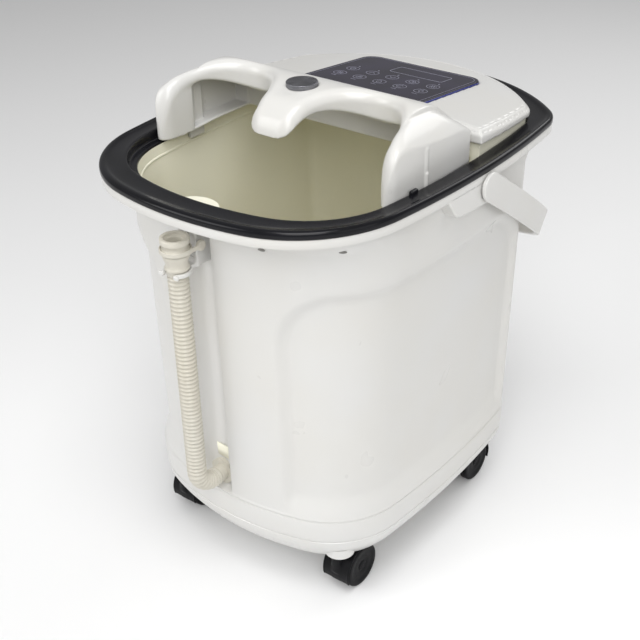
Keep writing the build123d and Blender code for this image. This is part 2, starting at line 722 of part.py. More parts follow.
def air_strip():
    """Perforated bar between the feet that lets the bubbles out."""
    bar = block(-9, 9, -50, 124, FLOOR_TOP_Z, FLOOR_TOP_Z + 7)
    bar = fillet(bar.edges().filter_by(Axis.Y).group_by(Axis.Z)[-1], 3)
    bar += rod(*AIR_SPOT, 120, FLOOR_TOP_Z + 1, 4.8)
    for i in range(16):
        bar -= rod(0, -40 + 10 * i, FLOOR_TOP_Z + 3, FLOOR_TOP_Z + 8, 1)
    return bar


def lamp_lens():
    x, y = LENS_SPOT
    return rod(x, y, FLOOR_TOP_Z, FLOOR_TOP_Z + 3, 17) + rod(x, y, 130, FLOOR_TOP_Z, 13.8)


def lamp_board():
    x, y = LENS_SPOT
    board = rod(x, y, 124, 125.6, 14)
    for i in range(6):
        a = math.radians(60 * i)
        board += rod(x + 9 * math.cos(a), y + 9 * math.sin(a), 125.6, 129, 2.5)
    return board


def power_board():
    board = block(34, 104, -112, -52, 62, 63.6)
    board += block(42, 66, -104, -84, 63.6, 84) + block(76, 96, -100, -80, 63.6, 78)
    return board + rod(50, -66, 63.6, 84, 6) + block(70, 94, -72, -58, 63.6, 72)


def board_posts():
    """Where the base's posts hold the power board, with their top and radius."""
    return [(x, y, 62, 3) for x in (38, 100) for y in (-108, -56)]


def cord_gland():
    """Strain relief where the supply lead enters the rear skirt."""
    return rod_y(60, 78, 170, 186, 6.8, 3.4) + rod_y(60, 78, 186, 194, 9, 3.4)


def riser_cable():
    """Ribbon from the base up behind the basin to the control board."""
    front = [(179.1, 104), (184.7, 380), (184.7, 422)]
    back = [(y + 1.4, z) for y, z in reversed(front)]
    return across(front + back, -7, 7)


# --- Assembly -----------------------------------------------------------------------------
def build():
    nodes = {
        "outer_shell": outer_shell(),
        "base_tray": base_tray(),
        "inner_basin": inner_basin(),
        "rim_ring": rim_ring(),
        "rim_gasket": rim_gasket(),
        "hood_shell": hood_shell(),
        "hood_badge": hood_badge(),
        "hinge_pins": hinge_pins(),
        "rear_cover": rear_cover(),
        "touch_panel": touch_panel(),
        "housing_tray": housing_tray(),
        **electronics(),
        "carry_handle": carry_handle(),
        "pivot_bushes": pivot_bushes(),
        "pivot_screws": pivot_screws(),
        "drain_hose": drain_hose(),
        "port_cuff": port_cuff(),
        "hose_cuff": hose_cuff(),
        "hose_bracket": hose_bracket(),
        "hose_strap": hose_strap(),
        "drain_elbow": drain_elbow(),
        "drain_strainer": drain_strainer(),
        "caster_sockets": caster_sockets(),
        "shaft_bearings": shaft_bearings(),
        "shaft_seals": shaft_seals(),
        "drive_belt": drive_belt(),
        "massage_motor": massage_motor(),
        "motor_pulley": motor_pulley(),
        "heater_plate": heater_plate(),
        "heater_element": heater_element(),
        "thermostat": thermostat(),
        "temperature_sensor": temperature_sensor(),
        "air_pump": air_pump(),
        "air_pump_feet": air_pump_feet(),
        "air_hose": air_hose(),
        "air_strip": air_strip(),
        "lamp_lens": lamp_lens(),
        "lamp_board": lamp_board(),
        "power_board": power_board(),
        "cord_gland": cord_gland(),
        "riser_cable": riser_cable(),
    }
    for side, x in (("left", -DISC_X), ("right", DISC_X)):
        nodes[f"massage_disc_{side}"] = massage_disc(x)
        nodes[f"massage_shaft_{side}"] = massage_shaft(x)
        nodes[f"disc_pulley_{side}"] = flanged_pulley(x, DISC_Y, DISC_PULLEY_R, 4)
    for name, spot in CASTER_SPOTS.items():
        frame, axle, wheels = caster(*spot)
        nodes[f"caster_frame_{name}"] = frame + axle
        nodes[f"caster_wheels_{name}"] = wheels
    return nodes


if __name__ == "__main__":
    os.makedirs("parts", exist_ok=True)
    for name, part in build().items():
        export_step(part, f"parts/{name}.step")
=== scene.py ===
"""Studio scene of a pedicure foot bath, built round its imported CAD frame.

Lengths below are millimetres; meshes are written in metres.
Z is up, -Y is the sitter's side, +Y the control panel.
"""

import json
import math

import bpy
import numpy as np
from mathutils import Matrix, Vector


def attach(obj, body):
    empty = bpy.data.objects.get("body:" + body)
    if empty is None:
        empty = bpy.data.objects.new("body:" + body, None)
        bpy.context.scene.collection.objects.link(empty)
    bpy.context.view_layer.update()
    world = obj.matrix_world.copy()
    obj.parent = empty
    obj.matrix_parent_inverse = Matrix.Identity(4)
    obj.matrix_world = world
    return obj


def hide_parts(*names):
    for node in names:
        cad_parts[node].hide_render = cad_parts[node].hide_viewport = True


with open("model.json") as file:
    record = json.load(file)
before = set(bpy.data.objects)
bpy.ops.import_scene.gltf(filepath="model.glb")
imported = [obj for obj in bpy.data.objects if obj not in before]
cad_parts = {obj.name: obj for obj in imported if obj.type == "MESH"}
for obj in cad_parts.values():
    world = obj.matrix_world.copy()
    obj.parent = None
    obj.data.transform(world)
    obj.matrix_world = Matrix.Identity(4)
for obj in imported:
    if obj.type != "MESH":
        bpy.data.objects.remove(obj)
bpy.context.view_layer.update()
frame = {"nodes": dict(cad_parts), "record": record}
NODES = frame["nodes"]
MM = 0.001

# --- Dimensions shared with the CAD --------------------------------------------------------
RIM_HALF_W, RIM_HALF_L = 163.8, 220.0
SIDE_R, SIDE_BOW_Y, FRONT_R, REAR_R = 980.0, 10.0, 317.0, 205.0
FRONT_CORNER_R, REAR_CORNER_R, LEAST_CORNER_R = 112.0, 47.0, 14.0
SEAM_Z, FLOOR_TOP_Z = 99.5, 134.0
WALL = 3.0
SEAM_Y = 22.0
HINGE_Y, HINGE_Z, KNUCKLE_R = 22.25, 450.2, 2.6
BADGE_Y, BADGE_R = -45.0, 14.5
PANEL_HALF_W, PANEL_Y, PANEL_SLOPE, PANEL_Z0 = 70.0, (27.0, 157.0), 0.0894, 453.5
HOSE_X, HOSE_Y, HOSE_R, HOSE_BORE_R, PORT_Z, ELBOW_R = -12.0, -205.0, 9.6, 6.8, 117.0, 22.0
HOSE_PITCH, CUFF_Z = 4.2, 353.0
CHANNEL_R, CHANNEL_Y = 18.0, -185.0
PIVOT_Y, PIVOT_Z, HANDLE_HANG, HANDLE_H = 10.0, 402.0, 34.0, 27.0
WHEEL_R, WHEEL_IN, WHEEL_OUT, CASTER_TRAIL, AXLE_R = 23.0, 6.2, 15.2, 18.0, 2.5
CASTERS = {
    "front_right": (104.0, -134.0, 1),
    "front_left": (-104.0, -134.0, 1),
    "rear_right": (108.0, 114.0, -1),
    "rear_left": (-108.0, 114.0, -1),
}
DISC_X, DISC_Y, DISC_R = 64.0, -10.0, 46.0


# --- Mesh tools ----------------------------------------------------------------------------
def make_piece(name, shape, body, slot, look=None, smooth=True, crisp=None):
    """Object from millimetre points and faces, riding on a body; edges steeper than crisp stay sharp."""
    verts, faces = shape
    verts = np.asarray(verts, float) * MM
    mesh = bpy.data.meshes.new(name)
    mesh.from_pydata(verts.tolist(), [], [list(map(int, f)) for f in faces])
    mesh.validate()
    mesh.polygons.foreach_set("use_smooth", [smooth] * len(mesh.polygons))
    mesh.update()
    piece = bpy.data.objects.new(name, mesh)
    bpy.context.scene.collection.objects.link(piece)
    mesh.materials.append(look or LOOKS[slot])
    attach(piece, body)
    if crisp:
        bpy.context.view_layer.objects.active = piece
        piece.select_set(True)
        bpy.ops.object.shade_smooth_by_angle(angle=math.radians(crisp))
        piece.select_set(False)
    return piece


def smooth_step(low, high, value):
    t = np.clip((value - low) / (high - low), 0.0, 1.0)
    return t * t * (3.0 - 2.0 * t)


def soft_max(a, b, reach):
    """Larger of two values with a rounded change-over."""
    h = np.maximum(reach - np.abs(a - b), 0.0) / reach
    return np.maximum(a, b) + h * h * reach / 4.0


def soft_min(a, b, reach):
    return -soft_max(-a, -b, reach)


def round_cut(a, b, radius):
    """Intersection of two distances with a filleted edge."""
    u, v = np.maximum(a + radius, 0.0), np.maximum(b + radius, 0.0)
    return np.minimum(-radius, np.maximum(a, b)) + np.sqrt(u * u + v * v)


def bevel_cut(a, b, width):
    """Intersection of two distances with a flat bevelled edge."""
    return np.maximum(np.maximum(a, b), (a + b + width) * math.sqrt(0.5))


def curve_through(knots, x):
    """Smooth curve through (x, y) knots, with slopes taken from their neighbours."""
    kx, ky = np.array(knots, float).T
    slope = np.gradient(ky, kx)
    i = np.clip(np.searchsorted(kx, x) - 1, 0, len(kx) - 2)
    span = kx[i + 1] - kx[i]
    t = np.clip((x - kx[i]) / span, 0.0, 1.0)
    a, b = (1 + 2 * t) * (1 - t) ** 2, t * (1 - t) ** 2
    return a * ky[i] + b * span * slope[i] + (1 - a) * ky[i + 1] - t * t * (1 - t) * span * slope[i + 1]


class Grid:
    """Sample points for a distance field, as open arrays along x, y and z."""

    def __init__(self, low, high, step):
        self.low, self.step = np.array(low, float), step
        counts = np.ceil((np.array(high) - self.low) / step).astype(int) + 1
        axes = [self.low[i] + step * np.arange(counts[i]) for i in range(3)]
        self.x, self.y, self.z = np.meshgrid(*axes, indexing="ij", sparse=True)

    def full(self, field):
        shape = (self.x.size, self.y.size, self.z.size)
        return np.ascontiguousarray(np.broadcast_to(field, shape))

    def skin(self, field):
        """Quads round the field's zero level; negative is inside."""
        f = self.full(field)
        edge = np.ones(f.shape, bool)
        edge[1:-1, 1:-1, 1:-1] = False
        f = np.where(edge, np.maximum(f, 0.01 * self.step), f)
        size = f.shape
        points, cells, quads = [], [], []
        for axis in range(3):
            u, v = (axis + 1) % 3, (axis + 2) % 3
            low = np.take(f, range(size[axis] - 1), axis)
            high = np.take(f, range(1, size[axis]), axis)
            at = np.argwhere((low < 0) != (high < 0))
            a, b = low[tuple(at.T)], high[tuple(at.T)]
            spot = at.astype(float)
            spot[:, axis] += a / (a - b)
            ring = []
            for du, dv in ((0, 0), (1, 0), (1, 1), (0, 1)):
                cell = at.copy()
                cell[:, u] -= du
                cell[:, v] -= dv
                ring.append((cell[:, 0] * size[1] + cell[:, 1]) * size[2] + cell[:, 2])
                points.append(spot)
            cells += ring
            quad = np.stack(ring, 1)
            quad[a > 0] = quad[a > 0][:, ::-1]
            quads.append(quad)
        points, cells = np.concatenate(points), np.concatenate(cells)
        ids, which = np.unique(cells, return_inverse=True)
        count = np.bincount(which)
        verts = np.stack([np.bincount(which, points[:, i]) / count for i in range(3)], 1)
        return self.low + verts * self.step, np.searchsorted(ids, np.concatenate(quads))

    def even_skin(self, field, times, share=0.5):
        verts, faces = self.skin(field)
        return relaxed(verts, faces, times, share), faces

    def slab(self, x0, x1, y0, y1, z0, z1, radius=0.0):
        """Distance to a box with rounded edges."""
        u = np.abs(self.x - (x0 + x1) / 2) - (x1 - x0) / 2 + radius
        v = np.abs(self.y - (y0 + y1) / 2) - (y1 - y0) / 2 + radius
        w = np.abs(self.z - (z0 + z1) / 2) - (z1 - z0) / 2 + radius
        out = np.sqrt(np.maximum(u, 0) ** 2 + np.maximum(v, 0) ** 2 + np.maximum(w, 0) ** 2)
        return out + np.minimum(np.maximum(np.maximum(u, v), w), 0) - radius

    def drum(self, axis, centre, low, high, radius, fillet=0.0):
        """Distance to a cylinder along an axis, with filleted ends."""
        others = [(self.x, self.y, self.z)[i] - centre[i] for i in range(3) if i != axis]
        along = (self.x, self.y, self.z)[axis]
        side = np.hypot(*others) - radius
        ends = np.abs(along - (low + high) / 2) - (high - low) / 2
        return round_cut(side, ends, fillet) if fillet else np.maximum(side, ends)


def relaxed(verts, faces, times, share=0.5):
    """Evens out a quad mesh by moving points towards their neighbours' mean."""
    ends = np.concatenate([faces[:, [i, (i + 1) % 4]] for i in range(4)])
    count = np.bincount(ends.ravel(), minlength=len(verts))[:, None]
    for step in range(times):
        total = np.zeros_like(verts)
        for i in range(3):
            total[:, i] = np.bincount(ends[:, 0], verts[ends[:, 1], i], len(verts))
            total[:, i] += np.bincount(ends[:, 1], verts[ends[:, 0], i], len(verts))
        pull = share if step % 2 == 0 else -share * 1.02
        verts = verts + pull * (total / count - verts)
    return verts


def loft(rings, closed=True, caps=False):
    """Points and quads through rings of equal count; closed joins the last ring to the first."""
    n, m = len(rings[0]), len(rings)
    verts = np.concatenate(rings)
    faces = []
    for j in range(m if closed else m - 1):
        a, b = j * n, ((j + 1) % m) * n
        faces += [(a + i, a + (i + 1) % n, b + (i + 1) % n, b + i) for i in range(n)]
    if caps:
        faces += [tuple(range(n))[::-1], tuple((m - 1) * n + i for i in range(n))]
    return verts, faces


def lathe(profile, steps=64):
    """Solid of revolution about Z from (radius, z) points; radius 0 closes an end."""
    turns = np.linspace(0, 2 * math.pi, steps, endpoint=False)
    hollow = profile[0][0] > 0
    rings = [
        np.stack([r * np.cos(turns), r * np.sin(turns), np.full(steps, z)], 1)
        for r, z in profile if r > 0
    ]
    if hollow:
        return loft(rings)
    verts, faces = loft(rings, closed=False)
    count, tips = len(verts), [(0.0, 0.0, profile[0][1]), (0.0, 0.0, profile[-1][1])]
    last = count - steps
    faces += [(count, (i + 1) % steps, i) for i in range(steps)]
    faces += [(count + 1, last + i, last + (i + 1) % steps) for i in range(steps)]
    return np.concatenate([verts, tips]), faces


def joined(*parts):
    """One mesh from several (points, faces) pairs."""
    verts, faces, start = [], [], 0
    for v, f in parts:
        verts.append(np.asarray(v))
        faces += [tuple(int(i) + start for i in face) for face in f]
        start += len(v)
    return np.concatenate(verts), faces


def mirrored(part):
    """The same mesh on the other side of X = 0."""
    v, f = part
    return np.asarray(v) * (-1, 1, 1), [tuple(face)[::-1] for face in f]


def moved(part, matrix):
    v, f = part
    m = np.array(matrix)
    return np.asarray(v) @ m[:3, :3].T + m[:3, 3], f


def along_x(x, y, z):
    """Placing of a part drawn about Z, with its axis turned along X."""
    return Matrix.Translation((x, y, z)) @ Matrix.Rotation(math.radians(90), 4, "Y")


# --- Plan of the tub -----------------------------------------------------------------------
def meeting(c0, r0, c1, r1, sign):
    """Where two circles meet on the +X side; sign picks the rear (+1) or front (-1) meeting."""
    c0, c1 = np.array(c0, float), np.array(c1, float)
    gap = np.linalg.norm(c1 - c0)
    along = (r0**2 - r1**2 + gap**2) / (2 * gap)
    u = (c1 - c0) / gap
    off = math.sqrt(r0**2 - along**2) * np.array([-u[1], u[0]])
    spots = [c0 + along * u + s * off for s in (1, -1)]
    return max(spots, key=lambda p: (p[0] > 0, sign * p[1]))


def arc(centre, radius, a0, a1, steps):
    a = np.linspace(a0, a1, steps, endpoint=False)
    return np.stack([centre[0] + radius * np.cos(a), centre[1] + radius * np.sin(a)], 1)


def heading(origin, point):
    return math.atan2(point[1] - origin[1], point[0] - origin[0])


PLAN_STEPS = (36, 30, 64, 16, 24)


def plan(side, front=None, rear=None):
    """Closed loop of the tub's plan, set in from the rim's edge, from the front middle."""
    front = side if front is None else front
    rear = front if rear is None else rear
    half_w, y_front, y_rear = RIM_HALF_W - side, front - RIM_HALF_L, RIM_HALF_L - rear
    rs, rf, rr = SIDE_R - side, FRONT_R - front, REAR_R - rear
    r0 = FRONT_CORNER_R - (side + front) / 2
    r1 = max(REAR_CORNER_R - (side + rear) / 2, LEAST_CORNER_R)
    cs, cf, cr = (half_w - rs, SIDE_BOW_Y), (0.0, y_front + rf), (0.0, y_rear - rr)
    c0 = meeting(cs, rs - r0, cf, rf - r0, -1)
    c1 = meeting(cs, rs - r1, cr, rr - r1, 1)
    n = PLAN_STEPS
    right = np.concatenate([
        arc(cf, rf, -math.pi / 2, heading(cf, c0), n[0]),
        arc(c0, r0, heading(cf, c0), heading(cs, c0), n[1]),
        arc(cs, rs, heading(cs, c0), heading(cs, c1), n[2]),
        arc(c1, r1, heading(cs, c1), heading(cr, c1), n[3]),
        arc(cr, rr, heading(cr, c1), math.pi / 2, n[4]),
        [(0.0, y_rear)],
    ])
    left = right[1:-1][::-1] * (-1, 1)
    return np.concatenate([right, left])


def level(z, side, front=None, rear=None):
    loop = plan(side, front, rear)
    return np.column_stack([loop, np.full(len(loop), z)])


def between(table, z):
    """Plan insets at a height, from rows of (z, side, front, rear)."""
    rows = np.array(table, float)
    return [float(np.interp(z, rows[:, 0], rows[:, i])) for i in (1, 2, 3)]


def plan_distance(loop, x, y):
    """Signed distance in plan from a closed loop; negative inside."""
    x, y = np.broadcast_arrays(x[:, :, 0], y[:, :, 0])
    best, inside = np.full(x.shape, 1e9), np.zeros(x.shape, bool)
    for (ax, ay), (bx, by) in zip(loop, np.roll(loop, -1, 0)):
        dx, dy = bx - ax, by - ay
        t = np.clip(((x - ax) * dx + (y - ay) * dy) / (dx * dx + dy * dy + 1e-12), 0, 1)
        best = np.minimum(best, (x - ax - t * dx) ** 2 + (y - ay - t * dy) ** 2)
        if ay != by:
            hit = ((ay > y) != (by > y)) & (x < dx * (y - ay) / dy + ax)
            inside ^= hit
    return (np.where(inside, -1, 1) * np.sqrt(best))[:, :, None]


# --- Materials -----------------------------------------------------------------------------
class Look:
    """Small helper that wires one procedural material."""

    def __init__(self, name, color, roughness, metallic=0.0, coat=0.0, ior=1.48):
        self.mat = bpy.data.materials.new(name)
        self.mat.use_nodes = True
        self.nodes, self.links = self.mat.node_tree.nodes, self.mat.node_tree.links
        self.shader = self.nodes["Principled BSDF"]
        self.put("Base Color", (*color, 1.0))
        self.put("Roughness", roughness)
        self.put("Metallic", metallic)
        self.put("IOR", ior)
        self.put("Coat Weight", coat)
        self.put("Coat Roughness", 0.06)
        self.place = self.nodes.new("ShaderNodeTexCoord").outputs["Object"]
        self.height = None

    def put(self, socket, value):
        self.shader.inputs[socket].default_value = value

    def add(self, kind, values=(), **links):
        """New node, with its set sockets and its linked ones."""
        node = self.nodes.new("ShaderNode" + kind)
        for socket, value in dict(values).items():
            node.inputs[socket].default_value = value
        for socket, source in links.items():
            self.links.new(source, node.inputs[socket])
        return node

    def noise(self, scale, detail=3.0, vector=None):
        values = {"Scale": scale, "Detail": detail, "Roughness": 0.55}
        return self.add("TexNoise", values, Vector=vector or self.place).outputs["Fac"]

    def stretch(self, factors, turn=(0, 0, 0)):
        values = {"Scale": factors, "Rotation": turn}
        return self.add("Mapping", values, Vector=self.place).outputs["Vector"]

    def vector(self, operation, *terms):
        """Vector maths on linked outputs and fixed vectors."""
        node = self.add("VectorMath")
        node.operation = operation
        for socket, term in zip(node.inputs, terms):
            if isinstance(term, tuple):
                socket.default_value = term
            else:
                self.links.new(term, socket)
        return node.outputs["Vector"]

    def tint(self, value, dark, light, stops=(0.3, 0.7)):
        node = self.add("ValToRGB", Fac=value)
        for element, stop, color in zip(node.color_ramp.elements, stops, (dark, light)):
            element.position, element.color = stop, (*color, 1.0)
        self.links.new(node.outputs["Color"], self.shader.inputs["Base Color"])

    def roughen(self, value, low, high):
        node = self.add("MapRange", {"To Min": low, "To Max": high}, Value=value)
        self.links.new(node.outputs["Result"], self.shader.inputs["Roughness"])

    def bump(self, value, depth, strength=1.0):
        node = self.add("Bump", {"Distance": depth, "Strength": strength}, Height=value)
        if self.height is not None:
            self.links.new(self.height, node.inputs["Normal"])
        self.height = node.outputs["Normal"]
        self.links.new(self.height, self.shader.inputs["Normal"])


def scaled(color, share):
    return tuple(c * share for c in color)


def moulded(name, color, roughness=0.28, coat=0.25, warm=(1.0, 0.985, 0.95)):
    """Injection-moulded plastic: faint colour drift, orange peel and sink waves."""
    look = Look(name, color, roughness, coat=coat)
    drift = look.noise(9.0, 2.0)
    look.tint(drift, tuple(c * w * 0.985 for c, w in zip(color, warm)), color, (0.25, 0.75))
    look.roughen(look.noise(22.0, 2.0), roughness - 0.03, roughness + 0.05)
    look.bump(look.noise(14.0, 1.0), 0.0003, 0.10)
    look.bump(look.noise(900.0, 1.0), 0.00002, 0.10)
    return look.mat


def piano_black():
    """Polished black plastic with hairline polishing marks."""
    look = Look("piano_black", (0.006, 0.006, 0.008), 0.16)
    look.put("Specular IOR Level", 0.24)
    marks = look.noise(900.0, 2.0, vector=look.stretch((1.0, 0.12, 1.0), (0, 0, 0.5)))
    look.tint(look.noise(14.0), (0.005, 0.005, 0.006), (0.010, 0.010, 0.013))
    look.roughen(marks, 0.10, 0.26)
    look.bump(look.noise(38.0, 2.0), 0.00012, 0.3)
    return look.mat


def nylon(name, color, roughness=0.5):
    look = Look(name, color, roughness)
    look.put("Specular IOR Level", 0.12)
    look.tint(look.noise(60.0), scaled(color, 0.75), scaled(color, 1.3))
    look.roughen(look.noise(500.0), roughness - 0.1, roughness + 0.1)
    look.bump(look.noise(1800.0), 0.00008, 0.7)
    return look.mat


def rubber(name, color):
    look = Look(name, color, 0.7)
    look.tint(look.noise(90.0), scaled(color, 0.8), scaled(color, 1.4))
    look.roughen(look.noise(700.0), 0.6, 0.82)
    look.bump(look.noise(2600.0), 0.0001, 0.8)
    return look.mat


def metal(name, color, roughness=0.25, along=(1.0, 1.0, 40.0)):
    """Drawn or turned metal with fine streaks."""
    look = Look(name, color, roughness, metallic=1.0)
    streak = look.noise(300.0, vector=look.stretch(along))
    look.tint(streak, scaled(color, 0.82), color)
    look.roughen(streak, roughness - 0.06, roughness + 0.12)
    look.bump(streak, 0.00003, 0.5)
    return look.mat


def spun_metal():
    """Radially brushed disc: fine rings and anisotropic glints round the centre."""
    look = Look("spun_metal", (0.16, 0.16, 0.18), 0.28, metallic=1.0)
    look.put("Anisotropic", 0.9)
    offset = look.vector("SUBTRACT", look.place, (0.0, BADGE_Y * MM, 0.0))
    around = look.vector("CROSS_PRODUCT", (0.0, 0.0, 1.0), offset)
    look.links.new(look.vector("NORMALIZE", around), look.shader.inputs["Tangent"])
    wave = look.add("TexWave", {"Scale": 620.0, "Distortion": 1.5, "Detail": 3.0}, Vector=offset)
    wave.wave_type, wave.rings_direction = "RINGS", "Z"
    rings = wave.outputs["Fac"]
    look.tint(rings, (0.13, 0.13, 0.15), (0.26, 0.26, 0.28), (0.1, 0.9))
    look.roughen(rings, 0.22, 0.36)
    look.bump(rings, 0.00002, 0.5)
    return look.mat


def tinted_panel():
    """Back-printed glossy panel: near-black violet with a soft vignette."""
    look = Look("tinted_panel", (0.010, 0.008, 0.022), 0.10, ior=1.5)
    look.put("Specular IOR Level", 0.24)
    look.tint(look.noise(20.0, 1.0), (0.009, 0.007, 0.018), (0.020, 0.016, 0.040), (0.35, 0.75))
    look.roughen(look.noise(420.0), 0.07, 0.15)
    look.bump(look.noise(50.0, 1.0), 0.00006, 0.3)
    return look.mat


def speckled(name, color, dark, light, drift, grain, roughness=0.3, coat=0.0):
    """Fine colour drift at one noise scale, and grain given as (scale, depth, strength)."""
    look = Look(name, color, roughness, coat=coat)
    look.tint(look.noise(drift), dark, light)
    look.bump(look.noise(grain[0]), *grain[1:])
    return look.mat


HOSE_SLOT = "ivory_hose"
WHITE = (0.700, 0.698, 0.686)
CREAM = (0.930, 0.915, 0.770)
LOOKS = {
    "white_shell": moulded("white_shell", WHITE),
    "ivory_basin": moulded("ivory_basin", CREAM, roughness=0.36, coat=0.1),
    "black_gloss": piano_black(),
    "dark_panel": tinted_panel(),
    "brushed_metal": spun_metal(),
    "bright_steel": metal("bright_steel", (0.62, 0.62, 0.64), 0.2),
    "plated_steel": metal("plated_steel", (0.50, 0.50, 0.53), 0.34),
    "heater_alloy": metal("heater_alloy", (0.62, 0.62, 0.64), 0.42, (1.0, 1.0, 1.0)),
    "bronze_bearing": metal("bronze_bearing", (0.55, 0.36, 0.16), 0.4),
    HOSE_SLOT: moulded("ivory_hose", (0.615, 0.590, 0.520), roughness=0.38, coat=0.05),
    "clear_tube": speckled("clear_tube", (0.72, 0.74, 0.75), (0.62, 0.64, 0.66), (0.78, 0.80, 0.81),
                           70.0, (500.0, 0.0001, 0.4)),
    "red_lens": speckled("tinted_lens", (0.40, 0.02, 0.015), (0.30, 0.012, 0.010), (0.48, 0.03, 0.02),
                         160.0, (240.0, 0.0002, 0.4), 0.12, 0.4),
    "circuit_board": speckled("solder_mask", (0.02, 0.12, 0.05), (0.012, 0.09, 0.035),
                              (0.03, 0.16, 0.07), 260.0, (900.0, 0.0001, 0.5), 0.35, 0.3),
    "black_rubber": rubber("black_rubber", (0.018, 0.018, 0.018)),
    "black_nylon": nylon("black_nylon", (0.006, 0.006, 0.007), 0.42),
    "wheel_tread": nylon("wheel_tread", (0.008, 0.008, 0.009), 0.5),
}
MARK = moulded("mark_print", (0.30, 0.30, 0.38), roughness=0.4, coat=0.0)
EDGE_BLUE = moulded("edge_blue", (0.02, 0.03, 0.22), roughness=0.12, coat=0.5, warm=(1, 1, 1))
# Grey of the drain slots: painted shade that stands in for the dark insides of the slot openings.
SLOT_PAINTED_SHADE = nylon("vent_painted_shade", (0.24, 0.235, 0.22), 0.7)
for entry in frame["record"]["subparts"]:
    node = NODES[entry["node"]]
    node.data.materials.clear()
    node.data.materials.append(LOOKS[entry["material_slot"]])


# --- Tub shell -----------------------------------------------------------------------------
NECK_FOOT_Z, NECK_RISE, SHELL_TOP_Z = 385.0, 17.0, 415.6
SHELL_ROWS = [(SEAM_Z, 16.5, 41.0, 34.5), (NECK_FOOT_Z, 12.0, 36.6, 30.0)]
NECK = (12.0, 23.0, 23.0)
RECESS_TOP, RECESS_FRONT, RECESS_BACK = 348.0, 68.0, 172.0
RECESS_DEPTH, RECESS_CORNER, RECESS_EDGE, RECESS_FOOT = 6.5, 58.0, (-3.0, 10.0), (102.0, 128.0)
DIMPLE_Y, DIMPLE_Z, DIMPLE_DEPTH, DIMPLE_SPREAD = -36.0, 386.0, 2.4, 70.0
CHANNEL_FOOT, CHANNEL_TOP, CHANNEL_SOFT = (101.0, 107.0), (392.0, 403.0), 7.0


def run_of(loop):
    """Distance round the plan from the front middle, counted the same on both sides."""
    steps = np.linalg.norm(np.roll(loop, -1, 0) - loop, axis=1)
    run = np.concatenate([[0.0], np.cumsum(steps)[:-1]])
    return np.minimum(run, steps.sum() - run), steps.sum() / 2


def unit(vectors):
    return vectors / np.linalg.norm(vectors, axis=1)[:, None]


def inward(loop):
    along = unit(np.roll(loop, -1, 0) - np.roll(loop, 1, 0))
    return np.column_stack([-along[:, 1], along[:, 0]])


def side_recess(run, half, z):
    """Depth of the soft panel on each side and front corner, ending short of the rear corner."""
    u = np.maximum(RECESS_FRONT - run, run - (half - RECESS_BACK)) + RECESS_CORNER
    v = z - RECESS_TOP + RECESS_CORNER
    away = np.hypot(np.maximum(u, 0), np.maximum(v, 0)) + np.minimum(np.maximum(u, v), 0)
    depth = smooth_step(*RECESS_EDGE, RECESS_CORNER - away)
    return RECESS_DEPTH * depth * smooth_step(*RECESS_FOOT, z)


def shell_ring(z, insets, grow=0.0):
    """One level of the shell, with its side recess, hose channel and dimples."""
    loop = plan(*(v + grow for v in insets))
    run, half = run_of(loop)
    depth = side_recess(run, half, z)
    near = (loop[:, 1] - DIMPLE_Y) ** 2 + (z - DIMPLE_Z) ** 2
    dimple = DIMPLE_DEPTH * np.exp(-near / DIMPLE_SPREAD)
    depth = depth + np.where(np.abs(loop[:, 0]) > 140, dimple, 0.0)
    loop = loop + inward(loop) * depth[:, None]
    fade = smooth_step(*CHANNEL_FOOT, z) * (1 - smooth_step(*CHANNEL_TOP, z))
    across = (loop[:, 0] - HOSE_X) / (CHANNEL_R + grow)
    front = (np.abs(across) < 2.0) & (loop[:, 1] < 0)
    reach = np.sqrt(np.maximum(1 - across**2, 0.0)) * (CHANNEL_R + grow)
    floor = np.where(np.abs(across) < 1, CHANNEL_Y + reach, CHANNEL_Y - 30 * (np.abs(across) - 1))
    cut = soft_max(loop[:, 1], floor, CHANNEL_SOFT)
    loop[:, 1] = np.where(front, loop[:, 1] + fade * (cut - loop[:, 1]), loop[:, 1])
    return np.column_stack([loop, np.full(len(loop), z)])


def seam_bead(z):
    return 0.9 * math.exp(-(((z - 101.6) / 1.4) ** 2))


def build_shell():
    heights = [SEAM_Z, 100.1, 100.8, 101.6, 102.4, 103.2, 104.2, 105.6, 107.5]
    heights += list(np.linspace(110, NECK_FOOT_Z, 66))
    rings = [
        shell_ring(z, [v - seam_bead(z) for v in between(SHELL_ROWS, z)]) for z in heights
    ]
    top = between(SHELL_ROWS, NECK_FOOT_Z)
    neck = [(NECK_FOOT_Z + NECK_RISE * t, [a + (b - a) * t * t * (3 - 2 * t) for a, b in zip(top, NECK)])
            for t in np.linspace(0, 1, 10)[1:]]
    rings += [shell_ring(z, insets) for z, insets in neck]
    rings.append(shell_ring(405.6, [v - 0.4 for v in NECK]))
    rings.append(shell_ring(406.8, [v - 1.6 for v in NECK]))
    for inset, z in ((1.5, 407.0), (0.9, 407.25), (0.6, 407.9), (0.6, 414.7), (0.8, 415.3),
                     (1.3, SHELL_TOP_Z), (6.0, SHELL_TOP_Z)):
        rings.append(level(z, inset))
    rings.append(level(SHELL_TOP_Z, 15.0, 26.0))
    rings += [shell_ring(z, insets, WALL) for z, insets in reversed(neck)]
    rings += [shell_ring(z, between(SHELL_ROWS, z), WALL) for z in heights[::-1][::2]]
    return loft(rings)


def polygon_distance(loop, a, b):
    """Signed distance to a closed loop over a two-way grid; negative inside."""
    return plan_distance(np.array(loop, float), a[:, :, None], b[:, :, None])[:, :, 0]


